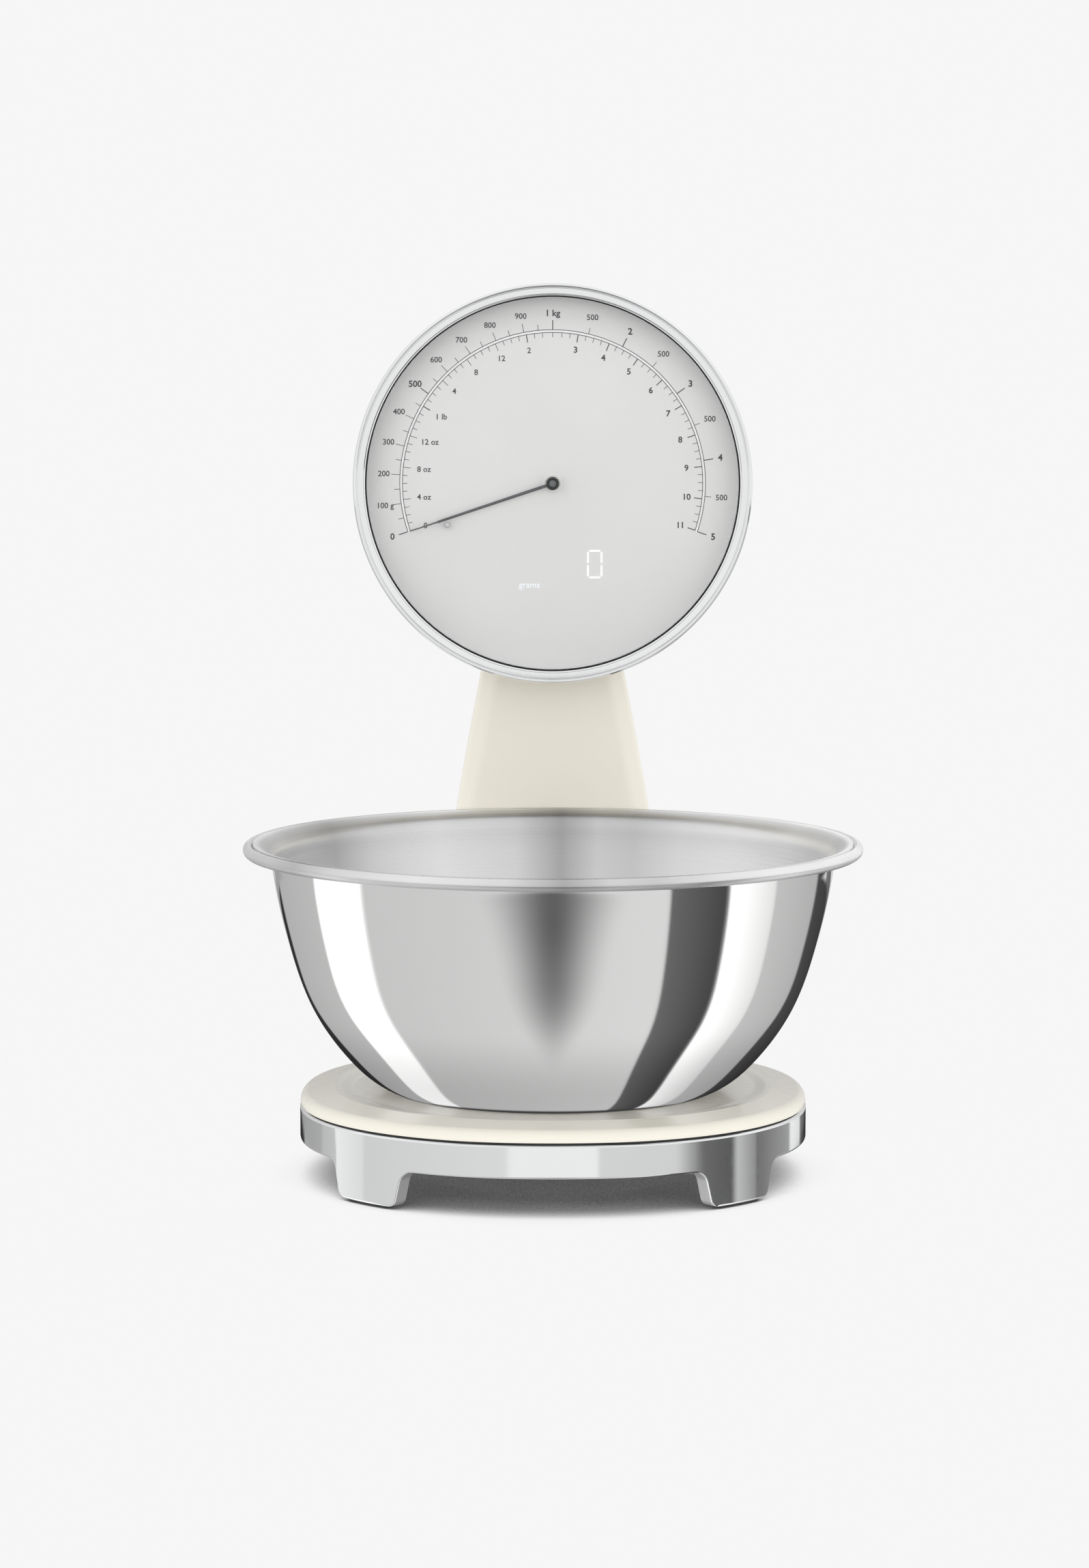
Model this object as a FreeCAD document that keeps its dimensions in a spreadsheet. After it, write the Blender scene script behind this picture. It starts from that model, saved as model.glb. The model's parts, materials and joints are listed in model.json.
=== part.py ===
"""Kitchen scale with a dial, a digit display and a lift-off bowl, as separate pieces.

Frame: millimetres, +Z up, the table at z = 0, the dial facing -Y. The origin is the centre of the
scale's footprint box. The weighing axis, through the middle of the bowl and plate, stands at
y = AxisY, because the column behind the bowl reaches further back than the bowl reaches forward.

Two local frames are used. Pieces of the base, column, plate and bowl are drawn with the weighing
axis as their z axis and the table as z = 0. Pieces of the dial head are drawn looking at the dial:
x to the right, y up, z towards the reader, with z = 0 in the bezel's front plane.
"""

import FreeCAD, Part
import math
import os
import re

import Sketcher
from FreeCAD import Placement, Rotation, Vector
from fcgear import fcgear, involute

# ---------------------------------------------------------------------------------------------
# Driving dimensions, in millimetres, degrees and counts. Heights are above the table.
# ---------------------------------------------------------------------------------------------

SIZES = {
    # Plan outline of base and plate: shallow side arcs joined by tangent corner arcs
    "BaseHalf": 107.5, "SideArc": 150, "CornerArc": 99.2, "CornerCentre": 7.69,
    # Chrome base ring and its feet
    "SkirtLow": 16.4, "SkirtTop": 30, "SkirtWall": 8, "FootLow": 1.2, "FootHalf": 16.5,
    "FootCorner": 4, "FootRoot": 7, "FootIn": 92, "FootOut": 118, "LipWide": 3.5, "SealWide": 2.5,
    "SealDeep": 1.2, "SealProud": 0.2,
    # Deck behind the plate, on which the column stands
    "DeckHalf": 64, "DeckFront": 80, "DeckBack": 151, "DeckThick": 3, "DeckWall": 4, "DeckRound": 12,
    "DeckHollowFront": 78,
    # Rubber pads under the feet
    "PadLong": 24, "PadWide": 6, "PadRadius": 105.6, "PegRadius": 1.5, "PegHigh": 2.8,
    # Screws
    "ScrewCore": 1.25, "ScrewHead": 2.8, "HeadHigh": 1.8, "SlotWide": 0.8, "SlotDeep": 0.9,
    "BoltCore": 1.5, "ThinHead": 1,
    # Base tray
    "TrayLow": 17.4, "TrayThick": 2, "TrayGap": 0.2, "LugRadius": 5, "LugPlace": 69.6, "LugHigh": 27,
    "DeckLugX": 50, "DeckLugY": 138,
    # Battery bay, cells and door
    "BayY": -58, "BayHalfLong": 26.5, "BayHalfWide": 18, "BayWall": 1.5, "BayRoof": 28.8,
    "CellRadius": 5.25, "CellLong": 43.7, "NubRadius": 1.9, "NubLong": 0.8, "CellPitch": 11.2,
    "CellHigh": 23.2, "ContactThick": 0.4, "ContactHalf": 4.2, "StripThick": 0.35, "StripNose": 1.5,
    "StripHalf": 2.6, "DoorHalfLong": 27, "DoorHalfWide": 20, "DoorLow": 15.4, "DoorThick": 1.8,
    "RailGap": 0.3, "RailWide": 1.8, "RailLow": 13.8, "RailLip": 1.2, "RailGrip": 2.4,
    "RailFront": -80, "RailBack": 24, "GripHigh": 0.5, "GripHalf": 12, "GripPitch": 3, "GripCount": 5,
    # Load cell and its spacers
    "CellBarHalf": 40, "CellBarWide": 12, "CellBarHigh": 9, "SpacerLong": 20, "SpacerLow": 1.6,
    "SpacerUp": 2.2, "EyeRadius": 3.2, "EyeApart": 7, "BarBoltX": 34, "BarBoltY": 3.1,
    "PottingHalf": 12, "PottingThick": 1.2, "PottingInset": 1.5,
    # Plate, its carrier and pads
    "PlateHalf": 107.3, "PlateLow": 31.2, "PlateTop": 38, "PlateRound": 5.2, "PlateUnder": 35.1,
    "PlateWall": 2.2, "SeatHigh": 36.7, "SeatRadius": 86, "CarrierHalf": 82, "CarrierWide": 24,
    "CarrierThick": 1.8, "CarrierPadRadius": 8, "CarrierPadPlace": 71,
    # Bowl
    "BowlFoot": 68, "BowlHeel": 77, "BowlHeelUp": 1.9, "BowlThick": 0.9, "BowlWallTop": 119.2,
    "BowlWallTopUp": 94.5, "RimCentre": 128.6, "RimHigh": 138.8, "RimRadius": 2.6,
    # Board in the base and the cable to the head
    "BoardX": 40, "BoardY": 52, "BoardHalfX": 22, "BoardHalfY": 14, "BoardUp": 2, "BoardThick": 1.6,
    "PlugX": 24, "PlugHalf": 4, "PlugY": 72, "CableRadius": 1.75, "CableHigh": 24.8, "CableY": 140,
    "CableTop": 254.2, "CableBend": 30, "DeckSlotHalf": 4, "DeckSlotFront": 112, "DeckSlotBack": 138,
    # Column
    "ColumnLowHalf": 63.6, "ColumnMidHalf": 43.35, "ColumnTopHalf": 30.4, "ColumnMid": 141,
    "ColumnTop": 212, "ColumnLowFront": 109, "ColumnFront": 134, "ColumnSplit": 146,
    "ColumnBack": 150, "ColumnWall": 2.5, "ColumnRound": 7,
    "FrameHalf": 16, "FrameFront": 139, "FrameThick": 3, "FrameTop": 222, "FlangeHalf": 19,
    "FlangeFront": 118, "FlangeThick": 3, "FlangeBoltX": 13, "FlangeBoltNear": 123,
    "FlangeBoltFar": 133, "RearBossRadius": 3.6, "RearBossX": 9, "RearBossLow": 70, "RearBossHigh": 180,
    # Dial head: its place, and depths behind the bezel's front plane
    "DialHigh": 288.2, "HeadFront": 100, "BezelRadius": 88.3, "BezelLip": 86.8, "BezelBand": 83.3,
    "GlassRadius": 82.3, "BezelBore": 85, "LipDeep": 1.5, "BandDeep": 0.6, "StepDeep": 1.4,
    "LensFront": 2, "LensBack": 4, "LensRadius": 84.8, "GasketBack": 4.6, "DialFront": 10.8,
    "DialBack": 12, "FlangeBack": 14, "FlangeRadius": 88, "DrumRadius": 84, "DrumBore": 81,
    "DrumBack": 48, "CoverBack": 50.5, "CoverRound": 2, "LugHalf": 6, "LugDeep": 8,
    "LugScrewAt": 53.2, "HeadSlotHalf": 18, "HeadSlotFront": 37, "HeadSlotBack": 42,
    "HeadBlockTop": -66, "HeadBlockBack": 47, "HeadScrewX": 9, "HeadScrewY": -72,
    # Chassis, board, display and switches in the head
    "ChassisRadius": 80.8, "ChassisBack": 14, "PostRadius": 3, "PostX": 32, "PostY": 30,
    "HeadBoardFront": 28, "HeadBoardBack": 29.6, "HeadBoardHalf": 38, "HeadBoardLow": -52,
    "HeadBoardTop": 38, "DigitX": 18.4, "DigitY": -35.6, "DigitHalfX": 6.3, "DigitHalfY": 9.5,
    "DigitBack": 20, "WindowHalfX": 4.1, "WindowHalfY": 7.1, "PinRadius": 0.3, "PinPitch": 2.54,
    "HeadPlugBack": 43, "HeadPlugHigh": 7, "SwitchX": 14, "SwitchY": -8, "SwitchHalf": 3,
    "SwitchBack": 33.1, "PlungerRadius": 1.6, "PlungerBack": 34,
    "ButtonRadius": 5.5, "ButtonGap": 0.15, "ButtonProud": 1.5, "ButtonStem": 2, "ButtonFront": 35.1,
    "CollarRadius": 7, "CollarBack": 47.8, "CollarThick": 1.5,
    # Pointer, bushing and rest pin
    "PointerLong": 67, "PointerStep": 53.7, "PointerRoot": 0.7, "PointerHalf": 0.55,
    "PointerTip": 0.25, "PointerFront": 7.2, "PointerBack": 8, "HubRadius": 3, "HubFront": 5.6,
    "HubBack": 9.6, "CapRadius": 1.7, "CapFront": 4.9, "PointerRest": 108.5, "ShaftRadius": 1,
    "RunGap": 0.05, "BushRadius": 2.5, "BushFlange": 4.2, "BushFront": 10.2, "PinHead": 1.35,
    "PinFront": 5.8, "PinPeg": 1, "PinAt": 50.2, "PinAngle": 201.4,
    # Pointer motor: two gear stages in a flat case
    "CaseHalf": 15, "CaseLow": -14, "CaseTop": 31, "CaseWall": 1.2, "CaseFront": 14, "CaseJoint": 25,
    "CaseBack": 26.2, "GearFront": 16.2, "GearBack": 18.2, "SecondFront": 18.7, "SecondBack": 19.9,
    "ToothSize": 0.4, "FineToothSize": 0.3, "OutputTeeth": 60, "PinionTeeth": 12, "IdlerTeeth": 50,
    "RotorTeeth": 10, "ToothShift": -0.1, "AxleRadius": 0.5, "AxleEnd": 0.6, "MagnetRadius": 3.6,
    "MagnetFront": 20.6, "MagnetBack": 23.8, "StatorHalfX": 12.8, "StatorHalfY": 4.5,
    "StatorFront": 21.8, "StatorBack": 22.8, "StatorBore": 4.2, "CoilNear": 6.2, "CoilFar": 11.4,
    "CoilHalfY": 5.9, "CoilFront": 20.3, "CoilBack": 24.3,
}

# Wall of the bowl between heel and rim: radius, and height above the seat.
BOWL_WALL = [(87.3, 10.4), (103.0, 34.2), (112.8, 62.2), (118.2, 86.0)]

# Where the wall ends: how far inside the rolled rim's tube, and how far below its centre.
RIM_LANDING, RIM_DROP = 0.4, 1

# Directions of the wall where it leaves the flat foot and where it meets the rim.
FOOT_WAY, LIP_WAY = Vector(1, 0, 0.04), Vector(1, 0, 0.9)

# Screws through the column's rear shell: across and height.
REAR_BOSSES = [(x, z) for x in ("-RearBossX", "RearBossX") for z in ("RearBossLow", "RearBossHigh")]

# How closely the chain of arcs follows a smooth curve through the wall's points.
ARC_FIT = 0.1

doc = FreeCAD.newDocument("KitchenScale")
sheet = doc.addObject("Spreadsheet::Sheet", "Sizes")


def fill_sheet():
    """One row for each driving dimension: its name, and its value under an alias."""
    for row, (alias, value) in enumerate(SIZES.items(), start=1):
        sheet.set(f"A{row}", alias)
        sheet.set(f"B{row}", str(value))
        sheet.setAlias(f"B{row}", alias)
    doc.recompute()


def cells(text):
    """The expression with each alias written as a reference to the sheet."""
    def reference(match):
        word = match.group()
        return "Sizes." + word if word in SIZES else word
    return re.sub(r"[A-Za-z]+", reference, str(text))


def number(text):
    """The present value of an expression of sheet cells."""
    return float(sheet.evalExpression(cells(text)))


def spot(x, y, z=0):
    return Vector(number(x), number(y), number(z))


def bind(thing, **sizes):
    """Binds properties of a document object to expressions of sheet cells."""
    for name, text in sizes.items():
        thing.setExpression(name, cells(text))
    return thing


def bind_place(thing, x=0, y=0, z=0):
    for axis, text in (("x", x), ("y", y), ("z", z)):
        thing.setExpression("Placement.Base." + axis, cells(text))
    return thing


# ---------------------------------------------------------------------------------------------
# Building blocks: primitives and booleans
# ---------------------------------------------------------------------------------------------

def slab(name, x, y, z):
    """A box between the two ends given for each axis."""
    box = doc.addObject("Part::Box", name)
    bind(box, Length=f"({x[1]}) - ({x[0]})", Width=f"({y[1]}) - ({y[0]})", Height=f"({z[1]}) - ({z[0]})")
    return bind_place(box, x[0], y[0], z[0])


def post(name, radius, z, x=0, y=0):
    """A cylinder along z between two heights."""
    cylinder = doc.addObject("Part::Cylinder", name)
    bind(cylinder, Radius=radius, Height=f"({z[1]}) - ({z[0]})")
    return bind_place(cylinder, x, y, z[0])


def bar(name, radius, ends, across, z, along="x"):
    """A cylinder lying along x or y between two ends."""
    cylinder = doc.addObject("Part::Cylinder", name)
    bind(cylinder, Radius=radius, Height=f"({ends[1]}) - ({ends[0]})")
    if along == "x":
        cylinder.Placement.Rotation = Rotation(Vector(0, 1, 0), 90)
        return bind_place(cylinder, ends[0], across, z)
    cylinder.Placement.Rotation = Rotation(Vector(1, 0, 0), -90)
    return bind_place(cylinder, across, ends[0], z)


def fused(name, *pieces):
    union = doc.addObject("Part::MultiFuse", name)
    union.Shapes = list(pieces)
    return union


def cut(name, base, *tools):
    difference = doc.addObject("Part::Cut", name)
    difference.Base = base
    difference.Tool = tools[0] if len(tools) == 1 else fused(name + "Tools", *tools)
    return difference


def group(name, pieces):
    """Separate solids that are one kind of piece, such as a set of screws."""
    compound = doc.addObject("Part::Compound", name)
    compound.Links = list(pieces)
    return compound


def behind(front, back):
    """Height range, in the dial head's frame, of what lies between two depths."""
    return f"-({back})", f"-({front})"


# ---------------------------------------------------------------------------------------------
# Building blocks: bodies and sketches
# ---------------------------------------------------------------------------------------------

def new_body(name):
    return doc.addObject("PartDesign::Body", name)


def new_sketch(body, name, plane="XY_Plane", height=0, turn=None):
    """A sketch on one of the body's own origin planes, raised by height along the plane's normal."""
    sketch = body.newObject("Sketcher::SketchObject", name)
    face = [item for item in body.Origin.OriginFeatures if item.Role == plane][0]
    sketch.AttachmentSupport = [(face, "")]
    sketch.MapMode = "FlatFace"
    if turn:
        sketch.AttachmentOffset = Placement(Vector(0, 0, 0), turn)
    sketch.setExpression("AttachmentOffset.Base.z", cells(height))
    return sketch


def hold(sketch, item, point, x, y):
    """Holds one point of a sketch at bound distances from the sketch's origin."""
    for kind, axis, text in (("DistanceX", -2, x), ("DistanceY", -1, y)):
        if str(text) == "0":
            sketch.addConstraint(Sketcher.Constraint("PointOnObject", item, point, axis))
            continue
        index = sketch.addConstraint(Sketcher.Constraint(kind, -1, 1, item, point, number(text)))
        sketch.setExpression(f"Constraints[{index}]", cells(text))


def draw_circle(sketch, radius, x=0, y=0):
    item = sketch.addGeometry(Part.Circle(spot(x, y), Vector(0, 0, 1), number(radius)))
    if str(x) == "0" and str(y) == "0":
        sketch.addConstraint(Sketcher.Constraint("Coincident", item, 3, -1, 1))
    else:
        hold(sketch, item, 3, x, y)
    index = sketch.addConstraint(Sketcher.Constraint("Radius", item, number(radius)))
    sketch.setExpression(f"Constraints[{index}]", cells(radius))


def draw_polygon(sketch, corners):
    """A closed outline of straight lines through bound corners."""
    first = sketch.GeometryCount
    count = len(corners)
    for index, (x, y) in enumerate(corners):
        sketch.addGeometry(Part.LineSegment(spot(x, y), spot(*corners[(index + 1) % count])))
    for index, (x, y) in enumerate(corners):
        following = first + (index + 1) % count
        sketch.addConstraint(Sketcher.Constraint("Coincident", first + index, 2, following, 1))
        hold(sketch, first + index, 1, x, y)


def draw_box(sketch, x, y):
    draw_polygon(sketch, [(x[0], y[0]), (x[1], y[0]), (x[1], y[1]), (x[0], y[1])])


def draw_outline(sketch, half, inset=0):
    """The scale's plan outline, of the given half width, moved inwards by inset.

    Four side arcs centred on the axes are joined by four corner arcs, tangent at every joint.
    """
    reach = number(f"SideArc - ({half})")
    centre = number("CornerCentre")
    blend = math.degrees(math.atan2(centre, reach + centre))
    side_radius = f"SideArc - ({inset})"
    corner_radius = f"CornerArc - (BaseHalf - ({half})) - ({inset})"
    first = sketch.GeometryCount
    for quarter in range(4):
        heading = math.radians(90 * quarter)
        side_centre = Vector(-reach * math.cos(heading), -reach * math.sin(heading), 0)
        corner_centre = Vector(centre * math.sqrt(2) * math.cos(heading + math.pi / 4),
                               centre * math.sqrt(2) * math.sin(heading + math.pi / 4), 0)
        side = Part.Circle(side_centre, Vector(0, 0, 1), number(side_radius))
        corner = Part.Circle(corner_centre, Vector(0, 0, 1), number(corner_radius))
        start = 90 * quarter
        sketch.addGeometry(Part.ArcOfCircle(side, math.radians(start - blend), math.radians(start + blend)))
        sketch.addGeometry(
            Part.ArcOfCircle(corner, math.radians(start + blend), math.radians(start + 90 - blend)))
    for index in range(8):
        here, following = first + index, first + (index + 1) % 8
        sketch.addConstraint(Sketcher.Constraint("Tangent", here, 2, following, 1))
    for quarter, (x, y) in enumerate(((-1, 0), (0, -1), (1, 0), (0, 1))):
        side, corner = first + 2 * quarter, first + 2 * quarter + 1
        hold(sketch, side, 3, f"{x} * (SideArc - ({half}))" if x else 0,
             f"{y} * (SideArc - ({half}))" if y else 0)
        for item, radius in ((side, side_radius), (corner, corner_radius)):
            index = sketch.addConstraint(Sketcher.Constraint("Radius", item, number(radius)))
            sketch.setExpression(f"Constraints[{index}]", cells(radius))


def pad(body, sketch, name, length, reverse=False):
    feature = body.newObject("PartDesign::Pad", name)
    feature.Profile = sketch
    feature.Reversed = reverse
    return bind(feature, Length=length)


def pocket(body, sketch, name, length, upwards=False):
    """Cuts along the sketch's normal when upwards is set, and against it otherwise."""
    feature = body.newObject("PartDesign::Pocket", name)
    feature.Profile = sketch
    feature.Reversed = upwards
    return bind(feature, Length=length)


def revolution(body, sketch, name):
    """Turns a sketch on the XZ plane about the body's own z axis."""
    feature = body.newObject("PartDesign::Revolution", name)
    feature.Profile = sketch
    feature.ReferenceAxis = (sketch, ["V_Axis"])
    feature.Angle = 360
    return feature


def around(body, name, features, count=4):
    """Repeats features about the body's z axis."""
    pattern = body.newObject("PartDesign::PolarPattern", name)
    pattern.Originals = features
    axis = [item for item in body.Origin.OriginFeatures if item.Role == "Z_Axis"][0]
    pattern.Axis = (axis, [""])
    pattern.Angle = 360
    pattern.Occurrences = count
    body.Tip = pattern
    return pattern


def round_edges(body, name, base, radius, chosen):
    """Rounds the edges of a feature that the test picks out."""
    doc.recompute()
    edges = [f"Edge{index}" for index, edge in enumerate(base.Shape.Edges, start=1) if chosen(edge)]
    feature = body.newObject("PartDesign::Fillet", name)
    feature.Base = (base, edges)
    return bind(feature, Radius=radius)


# ---------------------------------------------------------------------------------------------
# Finishing a sub-part: its name and its place
# ---------------------------------------------------------------------------------------------

NODES = {}
HEAD_TURN = Rotation(Vector(1, 0, 0), 90)
AXIS_Y = "(RimCentre + RimRadius - HeadFront - CoverBack - ButtonProud) / 2"


def free_to_place(label, piece):
    """The piece itself, or, for a primitive that already has a place, a compound that holds it."""
    if piece.TypeId in ("Part::Box", "Part::Cylinder"):
        return group(label + "_piece", [piece])
    return piece


def on_table(label, piece):
    """A sub-part drawn about the weighing axis."""
    piece = free_to_place(label, piece)
    piece.Label = label
    NODES[label] = piece
    return bind_place(piece, 0, AXIS_Y, 0)


def on_head(label, piece, turn=0):
    """A sub-part drawn in the dial's frame, turned about the dial's axis."""
    piece = free_to_place(label, piece)
    piece.Label = label
    NODES[label] = piece
    piece.Placement.Rotation = HEAD_TURN.multiply(Rotation(Vector(0, 0, 1), turn))
    return bind_place(piece, 0, f"{AXIS_Y} + HeadFront", "DialHigh")


def set_shape(label, shape, head=False, turn=0):
    """A sub-part whose shape is computed here, because no primitive or sketch gives it."""
    piece = doc.addObject("Part::Feature", label + "_shape")
    piece.Shape = shape
    return on_head(label, piece, turn) if head else on_table(label, piece)


# ---------------------------------------------------------------------------------------------
# Screws
# ---------------------------------------------------------------------------------------------

def screw(name, x, y, seat, end, core="ScrewCore", head="HeadHigh"):
    """A slotted pan-head screw whose head sits on height seat and whose shank reaches height end."""
    up = number(end) > number(seat)
    head_range = (f"({seat}) - {head}", seat) if up else (seat, f"({seat}) + {head}")
    shank_range = (seat, end) if up else (end, seat)
    slot_range = (f"({seat}) - {head}", f"({seat}) - {head} / 2") if up else (
        f"({seat}) + {head} / 2", f"({seat}) + {head}")
    solid = fused(name + "Solid", post(name + "Head", "ScrewHead", head_range, x, y),
                  post(name + "Shank", core, shank_range, x, y))
    slot = slab(name + "Slot", (f"({x}) - ScrewHead", f"({x}) + ScrewHead"),
                (f"({y}) - SlotWide / 2", f"({y}) + SlotWide / 2"), slot_range)
    return cut(name, solid, slot)


def screws(name, places, seat, end, core="ScrewCore", head="HeadHigh"):
    return group(name, [screw(f"{name}{index}", x, y, seat, end, core, head)
                        for index, (x, y) in enumerate(places)])


def holes(name, places, radius, z):
    return [post(f"{name}{index}", radius, z, x, y) for index, (x, y) in enumerate(places)]


def four_corners(x, y, middle=0):
    return [(f"{a} * {x}", f"{middle} + {b} * {y}") for a in (-1, 1) for b in (-1, 1)]


# ---------------------------------------------------------------------------------------------
# Base
# ---------------------------------------------------------------------------------------------

LUGS = four_corners("LugPlace", "LugPlace")
DECK_LUGS = [("-DeckLugX", "DeckLugY"), ("DeckLugX", "DeckLugY")]
LOW_BOLTS = [("-BarBoltX", "-BarBoltY"), ("-BarBoltX", "BarBoltY")]
TOP_BOLTS = [("BarBoltX", "-BarBoltY"), ("BarBoltX", "BarBoltY")]
FLANGE_BOLTS = [(f"{a} * FlangeBoltX", b) for a in (-1, 1) for b in ("FlangeBoltNear", "FlangeBoltFar")]


def make_base_ring():
    """Chrome skirt with four feet at its corners and the deck that carries the column."""
    body = new_body("BaseRing")
    skirt = new_sketch(body, "SkirtPlan", height="SkirtLow")
    draw_outline(skirt, "BaseHalf")
    pad(body, skirt, "Skirt", "SkirtTop - SkirtLow")

    deck = new_sketch(body, "DeckPlan", height="SkirtLow")
    draw_box(deck, ("-DeckHalf", "DeckHalf"), ("DeckFront", "DeckBack"))
    block = pad(body, deck, "Deck", "SkirtTop - SkirtLow")
    round_edges(body, "DeckCorners", block, "DeckRound",
                lambda edge: is_upright(edge) and edge.BoundBox.YMin > number("DeckBack") - 1)

    foot = new_sketch(body, "FootShape", "XZ_Plane", "FootIn / sqrt(2)", Rotation(Vector(0, 1, 0), 45))
    foot.setExpression("AttachmentOffset.Base.x", cells("FootIn / sqrt(2)"))
    slope = "(FootHalf + FootRoot)"
    draw_polygon(foot, [
        ("FootHalf - FootCorner", "FootLow"), ("FootHalf", "FootLow + FootCorner"),
        ("FootHalf", "SkirtLow - FootRoot"), (slope, "SkirtLow"), (f"-{slope}", "SkirtLow"),
        ("-FootHalf", "SkirtLow - FootRoot"), ("-FootHalf", "FootLow + FootCorner"),
        ("-(FootHalf - FootCorner)", "FootLow")])
    leg = pad(body, foot, "Foot", "FootOut - FootIn")
    around(body, "Feet", [leg])

    trim = new_sketch(body, "TrimPlan")
    draw_circle(trim, "2 * FootOut")
    draw_outline(trim, "BaseHalf")
    pocket(body, trim, "TrimOutside", "SkirtLow", upwards=True)
    inside = new_sketch(body, "InsidePlan")
    draw_outline(inside, "BaseHalf", "SkirtWall")
    pocket(body, inside, "Inside", "SkirtTop", upwards=True)

    rebate = new_sketch(body, "RebatePlan", height="SkirtTop")
    draw_outline(rebate, "BaseHalf", "LipWide")
    pocket(body, rebate, "Rebate", "SealDeep")
    hollow = new_sketch(body, "DeckHollowPlan", height="SkirtLow")
    draw_box(hollow, ("DeckWall - DeckHalf", "DeckHalf - DeckWall"),
             ("DeckHollowFront", "DeckBack - DeckWall"))
    pocket(body, hollow, "DeckHollow", "SkirtTop - DeckThick - SkirtLow", upwards=True)

    lugs = new_sketch(body, "LugPlan", height="TrayLow + TrayThick")
    for x, y in LUGS + DECK_LUGS:
        draw_circle(lugs, "LugRadius", x, y)
    pad(body, lugs, "Lugs", "LugHigh - TrayLow - TrayThick")
    cores = new_sketch(body, "CorePlan", height="TrayLow")
    for x, y in LUGS + DECK_LUGS:
        draw_circle(cores, "ScrewCore", x, y)
    pocket(body, cores, "Cores", "LugHigh - TrayLow - 1", upwards=True)
    bolts = new_sketch(body, "BoltPlan", height="SkirtLow")
    for x, y in FLANGE_BOLTS:
        draw_circle(bolts, "BoltCore", x, y)
    draw_box(bolts, ("PlugX - DeckSlotHalf", "PlugX + DeckSlotHalf"), ("DeckSlotFront", "DeckSlotBack"))
    pocket(body, bolts, "BoltHoles", "SkirtTop - SkirtLow", upwards=True)
    pegs = new_sketch(body, "PegPlan")
    for x, y in four_corners("PadRadius / sqrt(2)", "PadRadius / sqrt(2)"):
        draw_circle(pegs, "PegRadius", x, y)
    pocket(body, pegs, "PegHoles", "FootLow + PegHigh", upwards=True)
    on_table("base_ring", body)


def is_upright(edge):
    box = edge.BoundBox
    return box.XLength < 0.01 and box.YLength < 0.01 and box.ZLength > 1


def make_foot_pads():
    for label, angle in (("back_right", 45), ("back_left", 135), ("front_left", 225), ("front_right", 315)):
        sole = slab("Sole" + label, ("PadRadius - PadWide / 2", "PadRadius + PadWide / 2"),
                    ("-PadLong / 2", "PadLong / 2"), (0, "FootLow"))
        peg = post("Peg" + label, "PegRadius", ("FootLow", "FootLow + PegHigh"), "PadRadius")
        piece = fused("Pad" + label, sole, peg)
        on_table("foot_pad_" + label, piece)
        piece.Placement.Rotation = Rotation(Vector(0, 0, 1), angle)


def make_base_tray():
    """Floor of the base with the battery bay, the door rails and the board's standoffs."""
    body = new_body("BaseTray")
    floor = new_sketch(body, "FloorPlan", height="TrayLow")
    draw_outline(floor, "BaseHalf", "SkirtWall + TrayGap")
    pad(body, floor, "Floor", "TrayThick")
    tongue = new_sketch(body, "TonguePlan", height="TrayLow")
    draw_box(tongue, ("DeckWall + TrayGap - DeckHalf", "DeckHalf - DeckWall - TrayGap"),
             ("DeckHollowFront", "DeckBack - DeckWall - TrayGap"))
    pad(body, tongue, "Tongue", "TrayThick")

    bay = new_sketch(body, "BayPlan", height="TrayLow")
    draw_box(bay, ("-(BayHalfLong + BayWall)", "BayHalfLong + BayWall"),
             ("BayY - BayHalfWide - BayWall", "BayY + BayHalfWide + BayWall"))
    pad(body, bay, "BayBlock", "BayRoof + BayWall - TrayLow")
    room = new_sketch(body, "RoomPlan", height="TrayLow")
    draw_box(room, ("-BayHalfLong", "BayHalfLong"), ("BayY - BayHalfWide", "BayY + BayHalfWide"))
    pocket(body, room, "BayRoom", "BayRoof - TrayLow", upwards=True)

    rails = new_sketch(body, "RailPlan", height="RailLow")
    inner, outer = "(DoorHalfLong + RailGap)", "(DoorHalfLong + RailGap + RailWide)"
    draw_box(rails, (inner, outer), ("RailFront", "RailBack"))
    draw_box(rails, (f"-{outer}", f"-{inner}"), ("RailFront", "RailBack"))
    pad(body, rails, "Rails", "TrayLow - RailLow")
    lips = new_sketch(body, "LipPlan", height="RailLow")
    draw_box(lips, ("DoorHalfLong - RailGrip", outer), ("RailFront", "RailBack"))
    draw_box(lips, (f"-{outer}", "RailGrip - DoorHalfLong"), ("RailFront", "RailBack"))
    pad(body, lips, "RailLips", "RailLip")

    studs = new_sketch(body, "StudPlan", height="TrayLow + TrayThick")
    for a in (-1, 1):
        for b in (-1, 1):
            draw_circle(studs, "PostRadius", f"BoardX + {a} * (BoardHalfX - PostRadius)",
                        f"BoardY + {b} * (BoardHalfY - PostRadius)")
    pad(body, studs, "BoardStuds", "BoardUp")
    drill = new_sketch(body, "DrillPlan", height="TrayLow")
    for x, y in LUGS + DECK_LUGS:
        draw_circle(drill, "ScrewCore", x, y)
    for x, y in LOW_BOLTS:
        draw_circle(drill, "BoltCore", x, y)
    pocket(body, drill, "ScrewHoles", "TrayThick", upwards=True)
    on_table("base_tray", body)


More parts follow.
